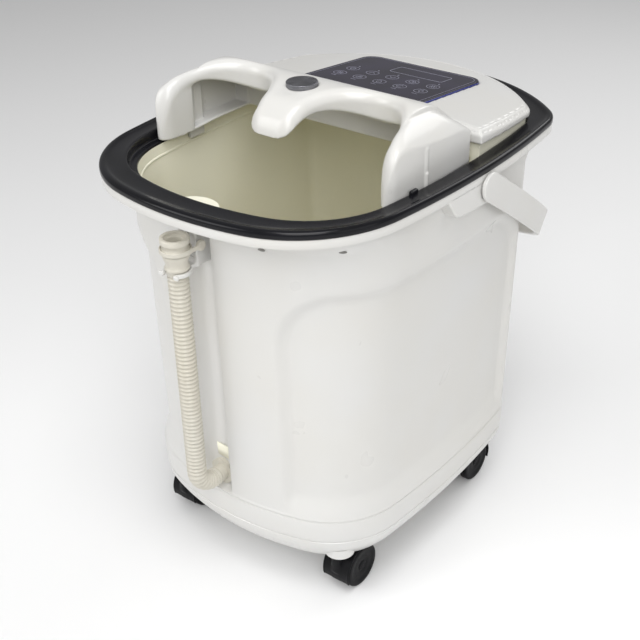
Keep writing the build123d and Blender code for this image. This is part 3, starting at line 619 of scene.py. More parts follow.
def build_boss():
    """Block under the flange that holds one handle pivot."""
    grid = Grid((146, -57, 380), (165, 33, 412), 0.75)
    side = [(-52, 408), (-46, 400), (-41, 392.5), (-37, 388.8), (-31, 387.2), (14, 385.2), (22, 387.6),
            (27, 393), (29, 413), (-52, 413)]
    profile = polygon_distance(side, grid.y[0], grid.z[0])[None]
    skin = plan_distance(plan(0.6), grid.x, grid.y)
    body = round_cut(round_cut(skin, profile, 1.6), 14.0 - (grid.x - 132.0), 0.5)
    bore = grid.drum(0, (0, PIVOT_Y, PIVOT_Z), 140, 180, 10.8)
    return grid.even_skin(round_cut(body, -bore, 0.5), 4)


shell = make_piece("tub_shell", build_shell(), "tub", "white_shell", crisp=40)
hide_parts("outer_shell")
boss = build_boss()
make_piece("pivot_bosses", joined(boss, mirrored(boss)), "tub", "white_shell")


def build_skirt():
    """Smooth skin over the base's skirt, with its second parting line."""
    profile = [(99.35, 17.6), (99.3, 16.6), (98.6, 16.0), (97, 15.7), (93, 15.5), (84, 15.6), (77, 16.1),
               (75.4, 16.3), (74.9, 16.75), (74.2, 16.8), (73.6, 16.3), (70, 16.7), (66, 17.6),
               (62, 19.4), (58, 21.7), (55, 23.8), (52.6, 25.9), (51, 28.0), (49.9, 31.0), (49.7, 33.5)]
    outer = [level(z, v, v + 24.6, v + 18.4) for z, v in profile]
    inner = [level(z, v + 1.2, v + 25.8, v + 19.6) for z, v in profile[-5::-4]]
    return loft(outer + inner)


make_piece("skirt_skin", build_skirt(), "tub", "white_shell", crisp=40)

# --- Rim and basin -------------------------------------------------------------------------
RIM_PROFILE = [
    (0.5, 415.7), (0.05, 416.3), (0, 417.5), (0, 419.6), (0.3, 420.9), (1.0, 421.9), (2.0, 422.45),
    (3.2, 422.6), (4.4, 422.35), (5.4, 421.75), (6.2, 421.3), (7.4, 421.0), (10, 420.75), (14, 420.7),
    (17, 420.8), (18.4, 421.0), (19.3, 420.8), (19.9, 420.1), (20.0, 419), (20.0, 414), (20.2, 412.6),
    (20.9, 411.8), (22, 411.5), (26.5, 411.5), (27.6, 411.2), (28.0, 410.4), (28.0, 409.2),
    (17.6, 409.2), (17.6, 417.4), (5, 417.4), (5, 415.7),
]


def rim_insets(a):
    return (a, a * 29 / 20, a * 29 / 20) if a <= 20 else (a, a + 9, a + 9)


ring = loft([level(z, *rim_insets(a)) for a, z in RIM_PROFILE])
grid = Grid((137, -84, 408), (147, -68, 426), 0.6)
lug = grid.skin(round_cut(grid.slab(139.4, 143.8, -81, -71, 409, 424.4, 1.8),
                          -grid.drum(0, (0, -76, 417.5), 130, 150, 2.4), 0.8))
rim = make_piece("glossy_rim", joined(ring, lug, mirrored(lug)), "tub", "black_gloss", crisp=42)
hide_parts("rim_ring")

NUB_R, NUB_H = 3.2, 2.4
BASIN_ROWS = [(FLOOR_TOP_Z, 36.0, 52.0, 46.0), (380.0, 29.5, 46.0, 39.0), (409.0, 28.0, 37.0, 37.0)]


def basin_level(z, proud):
    return level(z, *(v + proud for v in between(BASIN_ROWS, z)))


def build_cove():
    """Rounded corner between the basin's wall and floor."""
    turns = np.linspace(0, math.pi / 2, 8)
    radius = 14.0
    curve = [(FLOOR_TOP_Z + 0.1 + radius * (1 - math.cos(t)), radius * (1 - math.sin(t))) for t in turns]
    back = [(FLOOR_TOP_Z + 0.1 + radius, -0.8), (FLOOR_TOP_Z - 0.6, -0.8), (FLOOR_TOP_Z - 0.6, radius)]
    return loft([basin_level(z, proud) for z, proud in curve + back])


def build_wall_line():
    """Fine moulded step a little under the rim."""
    rows = [(399.6, -0.6), (399.2, 0.25), (398.4, 0.75), (397.4, 0.75), (396.4, 0.3), (395.6, -0.6)]
    return loft([basin_level(z, proud) for z, proud in rows])


def nub(x, y):
    profile = [(0, NUB_H), (0.35 * NUB_R, 0.93 * NUB_H), (0.65 * NUB_R, 0.72 * NUB_H),
               (0.88 * NUB_R, 0.38 * NUB_H), (NUB_R, 0), (NUB_R, -0.8)]
    return moved(lathe(profile, 20), Matrix.Translation((x, y, FLOOR_TOP_Z)))


def build_nubs():
    """Rows of reflex nubs on the basin floor in front of and behind the discs."""
    spots = []
    for row in range(4):
        for column in range(5):
            x = 42 + 11 * column + 5.5 * (row % 2)
            spots += [(x, -112 + 10 * row), (x, 52 + 11 * row), (x, 96 + 10 * row)]
    clear = [(x, y) for x, y in spots if x < 98 and math.hypot(x - 34, y + 132) > 12]
    return joined(*(nub(side * x, y) for x, y in clear for side in (-1, 1)))


make_piece("basin_cove", build_cove(), "tub", "ivory_basin")
make_piece("basin_step", build_wall_line(), "tub", "ivory_basin")
make_piece("floor_nubs", build_nubs(), "tub", "ivory_basin")


def build_disc():
    """Kneading disc with knobs that grow out of its face."""
    grid = Grid((-49, -49, 132), (49, 49, 156), 0.85)
    top = FLOOR_TOP_Z + 8
    plate = grid.drum(2, (0, 0, 0), FLOOR_TOP_Z + 1, top, DISC_R, 3.0)
    knobs = 1e3
    for i in range(6):
        a = math.radians(60 * i)
        reach = np.sqrt((grid.x - 29 * math.cos(a)) ** 2 + (grid.y - 29 * math.sin(a)) ** 2
                        + (grid.z - top) ** 2)
        knobs = np.minimum(knobs, reach - 9.0)
    cap = np.sqrt(grid.x**2 + grid.y**2 + (grid.z - (top - 11)) ** 2) - 14.5
    turned = np.hypot(grid.x, grid.y)
    groove = np.hypot(turned - 41.5, grid.z - top) - 1.0
    knobs = np.maximum(knobs, FLOOR_TOP_Z + 1 - grid.z)
    face = soft_min(soft_min(plate, knobs, 4.0), np.maximum(cap, FLOOR_TOP_Z + 2 - grid.z), 3.0)
    return grid.even_skin(np.maximum(face, -groove), 2)


disc = build_disc()
for side, x in (("left", -DISC_X), ("right", DISC_X)):
    placed = moved(disc, Matrix.Translation((x, DISC_Y, 0)))
    piece = make_piece(f"kneading_disc_{side}", placed, f"{side}_massager", "ivory_basin")
    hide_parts(f"massage_disc_{side}")


# --- Splash hood ---------------------------------------------------------------------------
HOOD_SIDE = [(-106, 430), (-104, 436), (-97, 452), (-82, 468), (-62, 477), (-38, 480), (-14, 474.5),
             (5, 461.5), (21, 449.6)]
LIP = [(-112, 440), (-103, 442), (-97, 444.5), (-90, 450), (-80, 456), (-70, 459.5), (-50, 461),
       (-35, 457.5), (-23, 452), (-15, 447), (22, 446)]
EAVE = [(-110, 445.0), (-60, 440.0), (22, 431.0)]
HOOD_FOOT_Z, EAVE_STEP = 411.9, 1.1
BLADE_INSET, WALL_INSET, LEG_X = 18.6, 21.6, 118.5
KNUCKLE_GAP = 10.8


def ellipse_distance(x, y, rx, ry):
    k0 = np.hypot(x / rx, y / ry)
    k1 = np.hypot(x / rx**2, y / ry**2) + 1e-9
    return k0 * (k0 - 1.0) / k1


def hood_body(grid, inset, extra):
    """Filleted solid of the hood; inset sets the side wall in, extra thins it all round."""
    x, y, z = grid.x, grid.y, grid.z
    side = np.abs(x)
    scallop = ellipse_distance(side - 72.0, np.maximum(y + 100.0, 0.0), 49.0, 76.0)
    tongue_front = np.where(side < 60.0, -101.0 - y, -1e3)
    front = soft_max(-104.0 - y, tongue_front, 1.0)
    legs = round_cut(-scallop, front, 15.0)
    slope = np.gradient(curve_through(HOOD_SIDE, y[0, :, 0]), grid.step)[None, :, None]
    dome = (z - curve_through(HOOD_SIDE, y)) / np.sqrt(1 + slope**2)
    over = np.hypot(np.maximum(side - 99.0, 0), np.maximum(z - 434.0, 0)) - 46.5
    over = np.where(z > 434.0, over, side - 145.5)
    top = soft_max(dome, over, 8.0)
    outline = plan_distance(plan(inset), x, y)
    shell = round_cut(top, outline, 2.0)
    shell = round_cut(shell, legs, 11.0)
    seam = y - (SEAM_Y - 1.0)
    return np.maximum(round_cut(shell, seam, 0.8), HOOD_FOOT_Z - z) + extra


def clear_knuckles(grid, body, lows):
    """Cuts room for the other side's hinge barrels."""
    for low in lows:
        barrel = grid.drum(0, (0, HINGE_Y, HINGE_Z), low, low + KNUCKLE_GAP, KNUCKLE_R + 0.6)
        body = np.maximum(body, -barrel)
    return body


def build_hood():
    grid = Grid((-149, -108, 399), (149, 24, 484), 1.0)
    x, y, z = grid.x, grid.y, grid.z
    side = np.abs(x)
    eave = curve_through(EAVE, y)
    # The top reaches out over the side wall as a blade that grows towards the seam.
    blade = hood_body(grid, BLADE_INSET, 0.0)
    reach = 3.2 * smooth_step(-98.0, -20.0, y)
    wall = hood_body(grid, WALL_INSET, 0.0) + reach * EAVE_STEP
    outer = soft_min(np.maximum(blade + 3.0 - reach, eave - z), wall, 0.6)
    inner = hood_body(grid, WALL_INSET, WALL) + reach * EAVE_STEP
    body = soft_max(outer, -inner, 0.8)
    under = curve_through(LIP, y)
    open_low = soft_max(z - under, side - LEG_X, 6.0)
    open_low = np.maximum(open_low, y - 16.0)
    body = soft_max(body, -open_low, 2.4)
    body = np.where((side > LEG_X) & (z < HOOD_FOOT_Z), 5.0, body)
    shoe = round_cut(wall, (HOOD_FOOT_Z + 0.2) - z, 2.0)
    body = np.where(side > LEG_X, np.maximum(body, shoe), body)
    # Seam-side wall, inner posts and the hooked ends of the bulkhead.
    bulkhead = grid.slab(-122, 122, 17.2, 20.6, 417.5, 452, 1.0)
    bulkhead = np.maximum(bulkhead, grid.slab(-122, 122, 10, 30, 417.5, 452, 9.0))
    posts = 1e3
    for sign in (-1, 1):
        for near, far, *block in ((127.4, 131.6, -62, -42, 402, 462, 1.2),
                                  (131.0, 140.0, -54, -50, 414, 452, 1.0)):
            posts = np.minimum(posts, grid.slab(*sorted((sign * near, sign * far)), *block))
        ends = sorted((sign * 118.0, sign * 133.0))
        hook = round_cut(grid.slab(*ends, 9, 20.6, HOOD_FOOT_Z, 432, 3.0),
                         -(np.hypot(side - 122.0, z - 411.0) - 6.0), 1.0)
        posts = np.minimum(posts, np.maximum(hook, grid.slab(*ends, 17.0, 20.6, 400, 452, 1.0)))
    roof = hood_body(grid, WALL_INSET, WALL / 2)
    inside = np.maximum(np.minimum(bulkhead, posts), np.where(z > 430, roof, -1.0))
    body = soft_min(body, inside, 1.6)
    seat = grid.drum(2, (0, BADGE_Y, 0), 476.4, 500, BADGE_R + 0.7)
    body = np.maximum(body, -seat)
    body = clear_knuckles(grid, body, (21.6, -32.4))
    groove = np.maximum(np.maximum(np.abs(y + 60.0) - 0.6, z - eave + 2.0), 139.6 - side)
    return grid.even_skin(np.maximum(body, -groove), 6, 0.45)


def knuckles(low, reach, lift):
    """Hinge barrel with its leaf, on both sides."""
    profile = [(1.28, 0.1), (2.3, 0.0), (KNUCKLE_R, 0.35), (KNUCKLE_R, 9.65), (2.3, 10.0), (1.28, 9.9)]
    barrel = lathe(profile, 32)
    grid = Grid((low - 1, HINGE_Y - 8, HINGE_Z - 8), (low + 11, HINGE_Y + 8, HINGE_Z + 6), 0.5)
    near, far = sorted((HINGE_Y + math.copysign(1.4, reach), HINGE_Y + reach))
    mid = HINGE_Z + lift
    leaf = grid.skin(grid.slab(low + 0.1, low + 9.9, near, far, mid - 1.3, mid + 1.3, 0.5))
    part = joined(moved(barrel, along_x(low, HINGE_Y, HINGE_Z)), leaf)
    return joined(part, mirrored(part))


hood = make_piece("hood_form", build_hood(), "hood", "white_shell")
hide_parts("hood_shell")
make_piece("hood_knuckles", knuckles(32.4, -5.5, 0.4), "hood", "white_shell")

# --- Control housing -----------------------------------------------------------------------
POCKET_R = 16.5
KEY_COLUMNS = (-48, -24, 0, 24, 48)


def build_cover():
    """Rear lid: bevelled edge with a lip line, dropping to an eave, open below."""
    grid = Grid((-150, 21, 417), (150, 197, 456), 1.1)
    x, y, z = grid.x, grid.y, grid.z
    edge = plan_distance(plan(17.6, 26.6, 26.6), x, y)
    edge = np.maximum(edge, (SEAM_Y + 1.5) - y)
    top = z - (453.0 - PANEL_SLOPE * y - x**2 / 3000.0)
    eave = (432.6 - 0.0529 * y) - z
    lid = np.maximum(bevel_cut(edge, top, 4.6), eave)
    lid = round_cut(lid, eave, 1.0)
    hollow = np.maximum(np.maximum(edge + WALL, top + WALL), eave - 5.0)
    lip = np.maximum(np.abs(edge + 6.4) - 0.55, -0.7 - top)
    mid = sum(PANEL_Y) / 2
    across = np.abs(x) - PANEL_HALF_W - 0.5 + POCKET_R
    along = np.abs(y - mid) - (PANEL_Y[1] - PANEL_Y[0]) / 2 - 0.5 + POCKET_R
    pocket = np.hypot(np.maximum(across, 0), np.maximum(along, 0)) - POCKET_R
    pocket = np.maximum(pocket, np.minimum(np.maximum(across, along), 0) - POCKET_R)
    pocket = np.maximum(pocket, (PANEL_Z0 - PANEL_SLOPE * y - 4.1) - z)
    body = np.maximum(np.maximum(lid, -hollow), -lip)
    body = round_cut(body, -pocket, 0.7)
    body = clear_knuckles(grid, body, (32.0, -42.8))
    return grid.even_skin(body, 4, 0.4)


cover = make_piece("rear_lid", build_cover(), "tub", "white_shell")
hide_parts("rear_cover")
make_piece("cover_knuckles", knuckles(22.0, 3.6, -1.6), "tub", "white_shell")

PANEL_PLACE = Matrix.Translation(
    (0, sum(PANEL_Y) / 2, PANEL_Z0 - PANEL_SLOPE * sum(PANEL_Y) / 2)
) @ Matrix.Rotation(-math.atan(PANEL_SLOPE), 4, "X")


def stroke(points, width, closed=False):
    """Flat printed line of even width on the panel, standing just proud of it."""
    pts = np.array(points, float)
    n = len(pts)
    ahead = np.roll(pts, -1, 0) - pts
    behind = pts - np.roll(pts, 1, 0)
    if not closed:
        ahead[-1], behind[0] = behind[-1], ahead[0]
    along = unit(unit(ahead) + unit(behind))
    off = np.column_stack([-along[:, 1], along[:, 0]]) * width / 2
    flat = np.concatenate([pts + off, pts - off])
    verts = np.column_stack([flat, np.full(2 * n, 0.12)])
    verts = np.concatenate([verts, verts * (1, 1, -0.2)])
    faces = []
    for i in range(n if closed else n - 1):
        j = (i + 1) % n
        a, b, c, d = i, j, n + j, n + i
        faces += [(d, c, b, a), (a + 2 * n, b + 2 * n, c + 2 * n, d + 2 * n),
                  (a, b, b + 2 * n, a + 2 * n), (c, d, d + 2 * n, c + 2 * n)]
    if not closed:
        for i, turn in ((0, 1), (n - 1, -1)):
            faces.append((i, i + 2 * n, i + 3 * n, i + n)[::turn])
    return verts, faces


def circle(x, y, r, a0=0.0, a1=360.0, steps=28):
    a = np.radians(np.linspace(a0, a1, steps, endpoint=abs(a1 - a0) < 360))
    return np.column_stack([x + r * np.cos(a), y + r * np.sin(a)])


def rounded(w, h, r, x=0.0, y=0.0, steps=7):
    corners = []
    for sx, sy, start in ((1, 1, 0), (-1, 1, 90), (-1, -1, 180), (1, -1, 270)):
        corners.append(circle(x + sx * (w / 2 - r), y + sy * (h / 2 - r), r, start, start + 90, steps))
    return np.concatenate(corners)


def build_marks():
    """Generic icons: power, arrows, timer, waves, bubbles, drop, lamp and a display window."""
    lines = [(rounded(62, 22, 3, 14, 34), 0.6, True)]
    lines += [(circle(x, y, 6.6), 0.45, True) for y in (4, -18) for x in KEY_COLUMNS]
    lines += [
        (circle(-48, 4, 2.8, 120, 420, 20), 0.6),
        ([(-48, 4.6), (-48, 8)], 0.6),
        ([(-27, 2.6), (-24, 6.4), (-21, 2.6)], 0.6),
        ([(-3, 5.6), (0, 1.8), (3, 5.6)], 0.6),
        (circle(24, 4, 3.4), 0.5, True),
        ([(24, 6.2), (24, 4), (25.8, 4)], 0.5),
        (circle(48, 4, 1.6), 0.5, True),
    ]
    for i in range(8):
        a = math.radians(45 * i)
        lines.append(([(48 + r * math.cos(a), 4 + r * math.sin(a)) for r in (2.6, 4.0)], 0.5))
    for row in (-20, -18, -16):
        wave = [(-51 + t, row + 0.7 * math.sin(t * 2.1)) for t in np.linspace(0, 6, 16)]
        lines.append((wave, 0.45))
    for x, y, r in ((-25.6, -19.6, 1.6), (-22.4, -18.6, 1.1), (-24, -15.6, 1.4)):
        lines.append((circle(x, y, r, steps=16), 0.45, True))
    lines += [
        ([(0, -14), *map(tuple, circle(0, -19.2, 2.4, 150, 390, 14))], 0.5, True),
        (circle(24, -18, 3.2, 40, 320, 18), 0.5),
        (circle(48, -17, 2.2, -50, 230, 16), 0.5),
        ([(46.8, -20.6), (49.2, -20.6)], 0.5),
    ]
    for x in KEY_COLUMNS:
        lines += [([(x - 3, -29), (x + 3, -29)], 0.5), (circle(x, 15, 0.7, steps=12), 0.5, True)]
    lines.append((rounded(132, 122, 13), 0.35, True))
    return moved(joined(*(stroke(*line) for line in lines)), PANEL_PLACE)


def build_panel_edge():
    """Blue-tinted bevel of the panel's glass, just under its top edge."""
    rows = [(-0.95, 139.0), (-1.0, 140.3), (-2.9, 140.5), (-3.1, 139.0)]
    rings = [np.column_stack([rounded(w, w - 10, 16, steps=10), np.full(40, z)]) for z, w in rows]
    return moved(loft(rings), PANEL_PLACE)


make_piece("panel_marks", build_marks(), "tub", "dark_panel", MARK, smooth=False)
make_piece("panel_edge", build_panel_edge(), "tub", "dark_panel", EDGE_BLUE)

# --- Handle --------------------------------------------------------------------------------
BAIL_OUTER, BAIL_INNER = (-4.5, -20.0, -24.0), (-0.9, -10.5, -14.5)
HUB_X, END_STEPS = 152.6, 14


def swing(part, degrees):
    """Turns a part about the handle's pivot axis."""
    here = Matrix.Translation((0, PIVOT_Y, PIVOT_Z))
    return moved(part, here @ Matrix.Rotation(math.radians(degrees), 4, "X") @ here.inverted())


def build_handle():
    """Bail strap: rounded ends at the pivots, thicker across the back, softened edges."""
    outer, inner = plan(*BAIL_OUTER), plan(*BAIL_INNER)
    out_x, in_x = RIM_HALF_W - BAIL_OUTER[0], RIM_HALF_W - BAIL_INNER[0]
    keep = [i for i in range(len(outer)) if outer[i][1] > PIVOT_Y and inner[i][1] > PIVOT_Y]
    ends = [(PIVOT_Y - HANDLE_H / 2 * math.cos(t), HANDLE_H / 2 * math.sin(t))
            for t in np.linspace(0.10, math.pi / 2, END_STEPS)]
    stations = [((out_x, y), (in_x, y), h) for y, h in ends]
    stations += [(outer[i], inner[i], HANDLE_H / 2) for i in keep]
    stations += [((-o[0], o[1]), (-n[0], n[1]), h) for o, n, h in stations[:END_STEPS][::-1]]
    rings = []
    for o, n, half in stations:
        o, n = np.array(o, float), np.array(n, float)
        thick = np.linalg.norm(o - n)
        soft = min(1.5, thick * 0.42, half * 0.9)
        spots = []
        for su, sv, start in ((1, 1, 0), (0, 1, 90), (0, -1, 180), (1, -1, 270)):
            for a in np.radians(np.linspace(start, start + 90, 5)):
                u = (thick - soft if su else soft) + soft * math.cos(a)
                v = sv * (half - soft) + soft * math.sin(a)
                spots.append((n + (o - n) * u / thick, v))
        rings.append(np.array([(p[0], p[1], PIVOT_Z + v) for p, v in spots]))
    v, f = loft(rings, closed=False, caps=True)
    bail = (v, [tuple(face)[::-1] for face in f])
    hub = lathe([(0, -1.0), (7.4, -1.0), (8.0, -0.4), (8.0, 11.6), (7.4, 12.2), (0, 12.2)], 40)
    hub = moved(hub, along_x(HUB_X, PIVOT_Y, PIVOT_Z))
    return swing(joined(bail, hub, mirrored(hub)), -HANDLE_HANG)


handle = make_piece("bail_handle", build_handle(), "handle", "white_shell", crisp=50)
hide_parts("carry_handle")

# --- Drain hose ----------------------------------------------------------------------------
HOSE_TAIL, HOSE_BEND = 19.0, ELBOW_R * math.pi / 2


def hose_point(s):
    """Point and heading (in the YZ plane) at a distance along the hose's middle line."""
    y_bend = HOSE_Y + ELBOW_R
    if s < HOSE_TAIL:
        return (y_bend + HOSE_TAIL - s, PORT_Z), math.pi
    if s < HOSE_TAIL + HOSE_BEND:
        a = (s - HOSE_TAIL) / ELBOW_R
        return (y_bend - ELBOW_R * math.sin(a), PORT_Z + ELBOW_R * (1 - math.cos(a))), math.pi - a
    return (HOSE_Y, PORT_Z + ELBOW_R + s - HOSE_TAIL - HOSE_BEND), math.pi / 2


def build_hose():
    """Bellows tube: rounded ribs all along, fading to a plain end at the port."""
    total = HOSE_TAIL + HOSE_BEND + (CUFF_Z - PORT_Z - ELBOW_R)
    steps = int(total / HOSE_PITCH * 9)
    around = np.linspace(0, 2 * math.pi, 44, endpoint=False)

    def ring(s, radius):
        (y, z), way = hose_point(s)
        ny, nz = -math.sin(way), math.cos(way)
        c, d = radius * np.cos(around), radius * np.sin(around)
        return np.column_stack([HOSE_X + c, y + d * ny, z + d * nz])

    outer = []
    for s in np.linspace(0, total, steps):
        fold = 0.5 + 0.5 * math.cos(2 * math.pi * s / HOSE_PITCH)
        ribs = HOSE_R - 1.9 + 1.85 * (fold**0.7)
        blend = float(smooth_step(12.0, 20.0, s))
        outer.append(ring(s, HOSE_R - 1.0 + blend * (ribs - HOSE_R + 1.0)))
    inner = [ring(s, HOSE_BORE_R) for s in np.linspace(total, 0, steps // 12)]
    return loft(outer + inner)


hose = make_piece("ribbed_hose", build_hose(), "tub", HOSE_SLOT)
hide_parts("drain_hose")

CUFF_PROFILE = [
    (6.8, 0), (9.3, 0), (9.7, 0.4), (9.7, 4.2), (10.4, 5.0), (10.95, 5.7), (10.95, 7.2), (10.4, 7.9),
    (9.95, 8.6), (9.9, 10.8), (10.2, 12.6), (11.3, 15.6), (11.8, 17.2), (12.0, 18.7), (11.8, 19.7),
    (11.2, 20.4), (11.0, 21.6), (11.6, 22.3), (12.3, 22.9), (12.45, 23.9), (12.3, 24.9), (11.6, 25.6),
    (11.2, 26.5), (11.2, 28.0), (11.9, 29.2), (12.8, 30.0), (13.0, 30.8), (13.0, 34.0), (12.7, 34.8),
    (12.1, 35.0), (10.0, 35.0), (9.6, 34.8), (9.4, 34.2), (9.3, 32.8), (9.0, 32.4), (7.8, 32.2),
    (7.1, 31.9), (6.8, 31.2),
]
cuff = lathe([(r, CUFF_Z + z) for r, z in CUFF_PROFILE], 72)
cuff = moved(cuff, Matrix.Translation((HOSE_X, HOSE_Y, 0)))
cuff = make_piece("hose_mouth", cuff, "tub", HOSE_SLOT, crisp=55)
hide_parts("hose_cuff")


def build_bracket():
    """Back plate with the open clip that grips the cuff's waist."""
    grid = Grid((-28, -221, 350), (4, -162, 394), 0.55)
    x, y, z = grid.x - HOSE_X, grid.y - HOSE_Y, grid.z
    plate = grid.slab(HOSE_X - 7, HOSE_X + 7, -187.6, -166, 353.6, 391, 1.6)
    turned = np.hypot(x, y)
    clip = round_cut(np.abs(turned - 11.3) - 1.3, np.abs(z - 355.5) - 1.9, 0.6)
    clip = np.maximum(clip, -np.maximum(np.abs(x) - 6.5, y))
    tabs = 1e3
    for sign in (-1, 1):
        low, high = sorted((HOSE_X + sign * 6.4, HOSE_X + sign * 11.6))
        tabs = np.minimum(tabs, grid.slab(low, high, -217.2, -214.8, 353.8, 357.6, 0.8))
    neck = np.maximum(grid.slab(HOSE_X - 5.5, HOSE_X + 5.5, -195, -185, 353.7, 357.3, 0.8), 10.1 - turned)
    body = soft_min(soft_min(plate, neck, 2.4), soft_min(clip, tabs, 1.0), 1.6)
    lighten = grid.slab(HOSE_X - 3.6, HOSE_X + 3.6, -194, -185.4, 362, 386, 1.6)
    return grid.even_skin(np.maximum(body, -lighten), 2)


def build_strap():
    """Loop round the collar's neck, with its tail and pull tab."""
    grid = Grid((-28, -221, 371), (5, -180, 383), 0.5)
    turned = np.hypot(grid.x - HOSE_X, grid.y - HOSE_Y)
    loop = round_cut(np.abs(turned - 13.45) - 0.7, np.abs(grid.z - 376.4) - 2.1, 0.5)
    tail = grid.slab(HOSE_X + 12.5, HOSE_X + 14.1, -206, -188, 374.3, 378.5, 0.6)
    tab = grid.drum(0, (0, HOSE_Y + 18, 376.4), HOSE_X + 10.5, HOSE_X + 14.1, 4.9, 0.8)
    return grid.even_skin(soft_min(soft_min(loop, tail, 1.2), tab, 1.2), 2)


bracket = make_piece("hose_clip", build_bracket(), "tub", "white_shell")
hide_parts("hose_bracket")
strap = make_piece("cuff_strap", build_strap(), "tub", HOSE_SLOT)
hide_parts("hose_strap")


# --- Casters -------------------------------------------------------------------------------
def build_caster_frame():
    """Hooded frame of a twin-wheel caster, trailing towards +Y from its stem at the origin."""
    grid = Grid((-18, -32, 0), (18, 50, 81), 0.85)
    x, y, z = grid.x, grid.y - CASTER_TRAIL, grid.z - WHEEL_R
    turned = np.hypot(y, z)
    fender = round_cut(np.maximum(turned - 25.5, 24.2 - turned), np.abs(x) - 15.9, 0.5)
    rim = round_cut(np.maximum(turned - 25.9, 24.2 - turned), np.abs(np.abs(x) - 15.0) - 0.95, 0.3)
    fender = np.minimum(fender, rim)
    lean = (z + 0.5) * -0.95 - y * -0.32
    keep = np.maximum(lean, y - 11.0)
    fender = np.maximum(fender, keep)
    web = round_cut(turned - 24.6, np.abs(x) - 4.9, 0.8)
    web = np.maximum(web, np.maximum(lean, y - 15.0))
    hub = grid.drum(0, (0, CASTER_TRAIL, WHEEL_R), -5, 5, 6.2, 0.8)
    post = grid.drum(2, (0, 0, 0), WHEEL_R + 2, 49.2, 8.6, 1.0)
    post = np.maximum(post, np.abs(x) - np.where(grid.z > 46.0, 8.8, 5.4))
    stem = grid.drum(2, (0, 0, 0), 48, 80, 4.0, 0.8)
    body = soft_min(soft_min(soft_min(fender, web, 2.0), hub, 1.5), post, 2.0)
    return grid.even_skin(np.minimum(body, stem), 3, 0.4)


def build_wheels():
    """Two tread wheels with dished faces, hub caps and spokes in relief."""
    face = [(AXLE_R + 0.1, 0.6), (5.0, 0.6), (5.4, 1.0), (6.0, 1.2), (6.6, 0.9), (12.0, 0.6), (16.6, 0.5),
            (17.4, 0.1), (20.6, 0.0), (21.6, 0.25), (22.5, 0.9), (22.95, 1.8), (23.0, 2.6)]
    width = WHEEL_OUT - WHEEL_IN
    profile = [(r, WHEEL_OUT - d) for r, d in face] + [(r, WHEEL_IN + d * 0.5) for r, d in face[::-1]]
    disc = lathe(profile, 72)
    grid = Grid((-9, -9, WHEEL_OUT - 3), (9, 9, WHEEL_OUT + 1), 0.4)
    cap = grid.drum(2, (0, 0, 0), WHEEL_OUT - 2.5, WHEEL_OUT - 0.1, 4.6, 0.6)
    cap = np.maximum(cap, -(np.hypot(np.hypot(grid.x, grid.y) - 2.8, grid.z - WHEEL_OUT + 0.1) - 0.4))
    side = joined(disc, grid.skin(cap))
    side = moved(side, along_x(0, CASTER_TRAIL, WHEEL_R))
    return joined(side, mirrored(side))


frame_mesh, wheel_mesh = build_caster_frame(), build_wheels()
for name, (x, y, way) in CASTERS.items():
    spot = Matrix.Translation((x, y, 0))
    if way < 0:
        spot = spot @ Matrix.Rotation(math.pi, 4, "Z")
    fork = make_piece(f"caster_hood_{name}", moved(frame_mesh, spot), f"{name}_swivel", "black_nylon")
    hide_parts(f"caster_frame_{name}")
    wheels = make_piece(f"caster_rollers_{name}", moved(wheel_mesh, spot), f"{name}_wheels",
                        "wheel_tread", crisp=40)
    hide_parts(f"caster_wheels_{name}")


# --- Small marks of the shell --------------------------------------------------------------
def build_slots():
    """Drain slots just under the flange, as shallow lenses whose grey is painted shade for the dark slot
    openings.
    """
    lens = lathe([(0, 0.35), (2.4, 0.3), (3.6, 0.0), (2.4, -0.6), (0, -0.8)], 24)
    spots = []
    for x, y, z, nx, ny in ((61.0, -178.2, 386.4, 0.2, -0.98), (123.6, -149.9, 391.5, 0.62, -0.78),
                            (-123.6, -149.9, 391.5, -0.62, -0.78)):
        out = Vector((nx, ny, 0.0)).normalized()
        turn = out.to_track_quat("Z", "Y").to_matrix().to_4x4()
        squeeze = Matrix.Diagonal((0.95, 0.36, 1.0, 1.0))
        spots.append(moved(lens, Matrix.Translation((x, y, z)) @ turn @ squeeze))
    return joined(*spots)


make_piece("drain_slots", build_slots(), "tub", "white_shell", SLOT_PAINTED_SHADE)

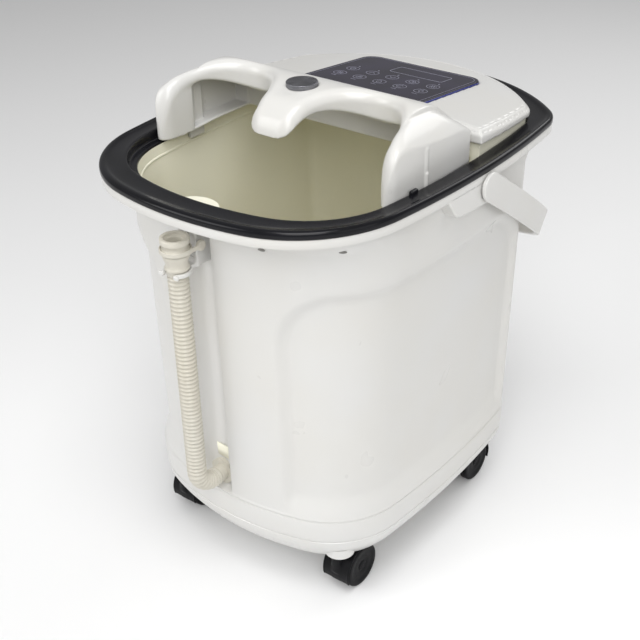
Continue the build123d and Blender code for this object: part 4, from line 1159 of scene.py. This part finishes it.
# --- Stage, lights and camera ---------------------------------------------------------------
def stage_look():
    look = Look("studio_floor", (0.93, 0.93, 0.93), 0.6)
    look.tint(look.noise(1.2), (0.925, 0.925, 0.925), (0.935, 0.935, 0.935))
    return look.mat


bpy.ops.mesh.primitive_plane_add(size=14.0, location=(0, 0, 0))
floor = bpy.context.object
floor.name = "floor"
floor.data.materials.append(stage_look())

world = bpy.data.worlds.new("studio")
bpy.context.scene.world = world
world.use_nodes = True
world.node_tree.nodes["Background"].inputs["Color"].default_value = (1.0, 1.0, 1.0, 1.0)
world.node_tree.nodes["Background"].inputs["Strength"].default_value = 0.31


def soft_light(name, spot, target, size, power):
    data = bpy.data.lights.new(name, "AREA")
    data.shape, data.size, data.size_y = "RECTANGLE", *size
    data.energy = power
    lamp = bpy.data.objects.new(name, data)
    lamp.location = spot
    lamp.rotation_euler = (Vector(target) - Vector(spot)).to_track_quat("-Z", "Y").to_euler()
    bpy.context.scene.collection.objects.link(lamp)


soft_light("key", (-1.3, -1.9, 1.5), (0, 0, 0.22), (1.5, 1.5), 21)
soft_light("front", (1.2, -1.5, 1.75), (0, 0, 0.2), (1.2, 1.2), 20)
soft_light("over", (0.45, -0.6, 1.95), (0, 0.0, 0.3), (0.9, 0.9), 14)
soft_light("rear", (0.3, 1.7, 1.7), (0, 0.05, 0.4), (1.4, 1.0), 12)
soft_light("side", (2.1, -0.3, 1.0), (0, 0, 0.22), (1.3, 1.6), 5)

CAMERA_SPOT = (0.6028, -0.7802, 0.8040)
CAMERA_TARGET = (-0.00294, -0.00008, 0.20559)
camera_data = bpy.data.cameras.new("camera")
camera_data.lens, camera_data.sensor_width = 62.2, 36.0
camera_data.shift_x, camera_data.shift_y = -0.0219, 0.0061
camera_data.dof.use_dof = False
camera = bpy.data.objects.new("camera", camera_data)
bpy.context.scene.collection.objects.link(camera)
aim = (Vector(CAMERA_TARGET) - Vector(CAMERA_SPOT)).to_track_quat("-Z", "Y").to_matrix().to_4x4()
roll = Matrix.Rotation(math.radians(-0.85), 4, "Z")
camera.matrix_world = Matrix.Translation(CAMERA_SPOT) @ aim @ roll
bpy.context.scene.camera = camera
bpy.context.scene.view_settings.view_transform = "Standard"
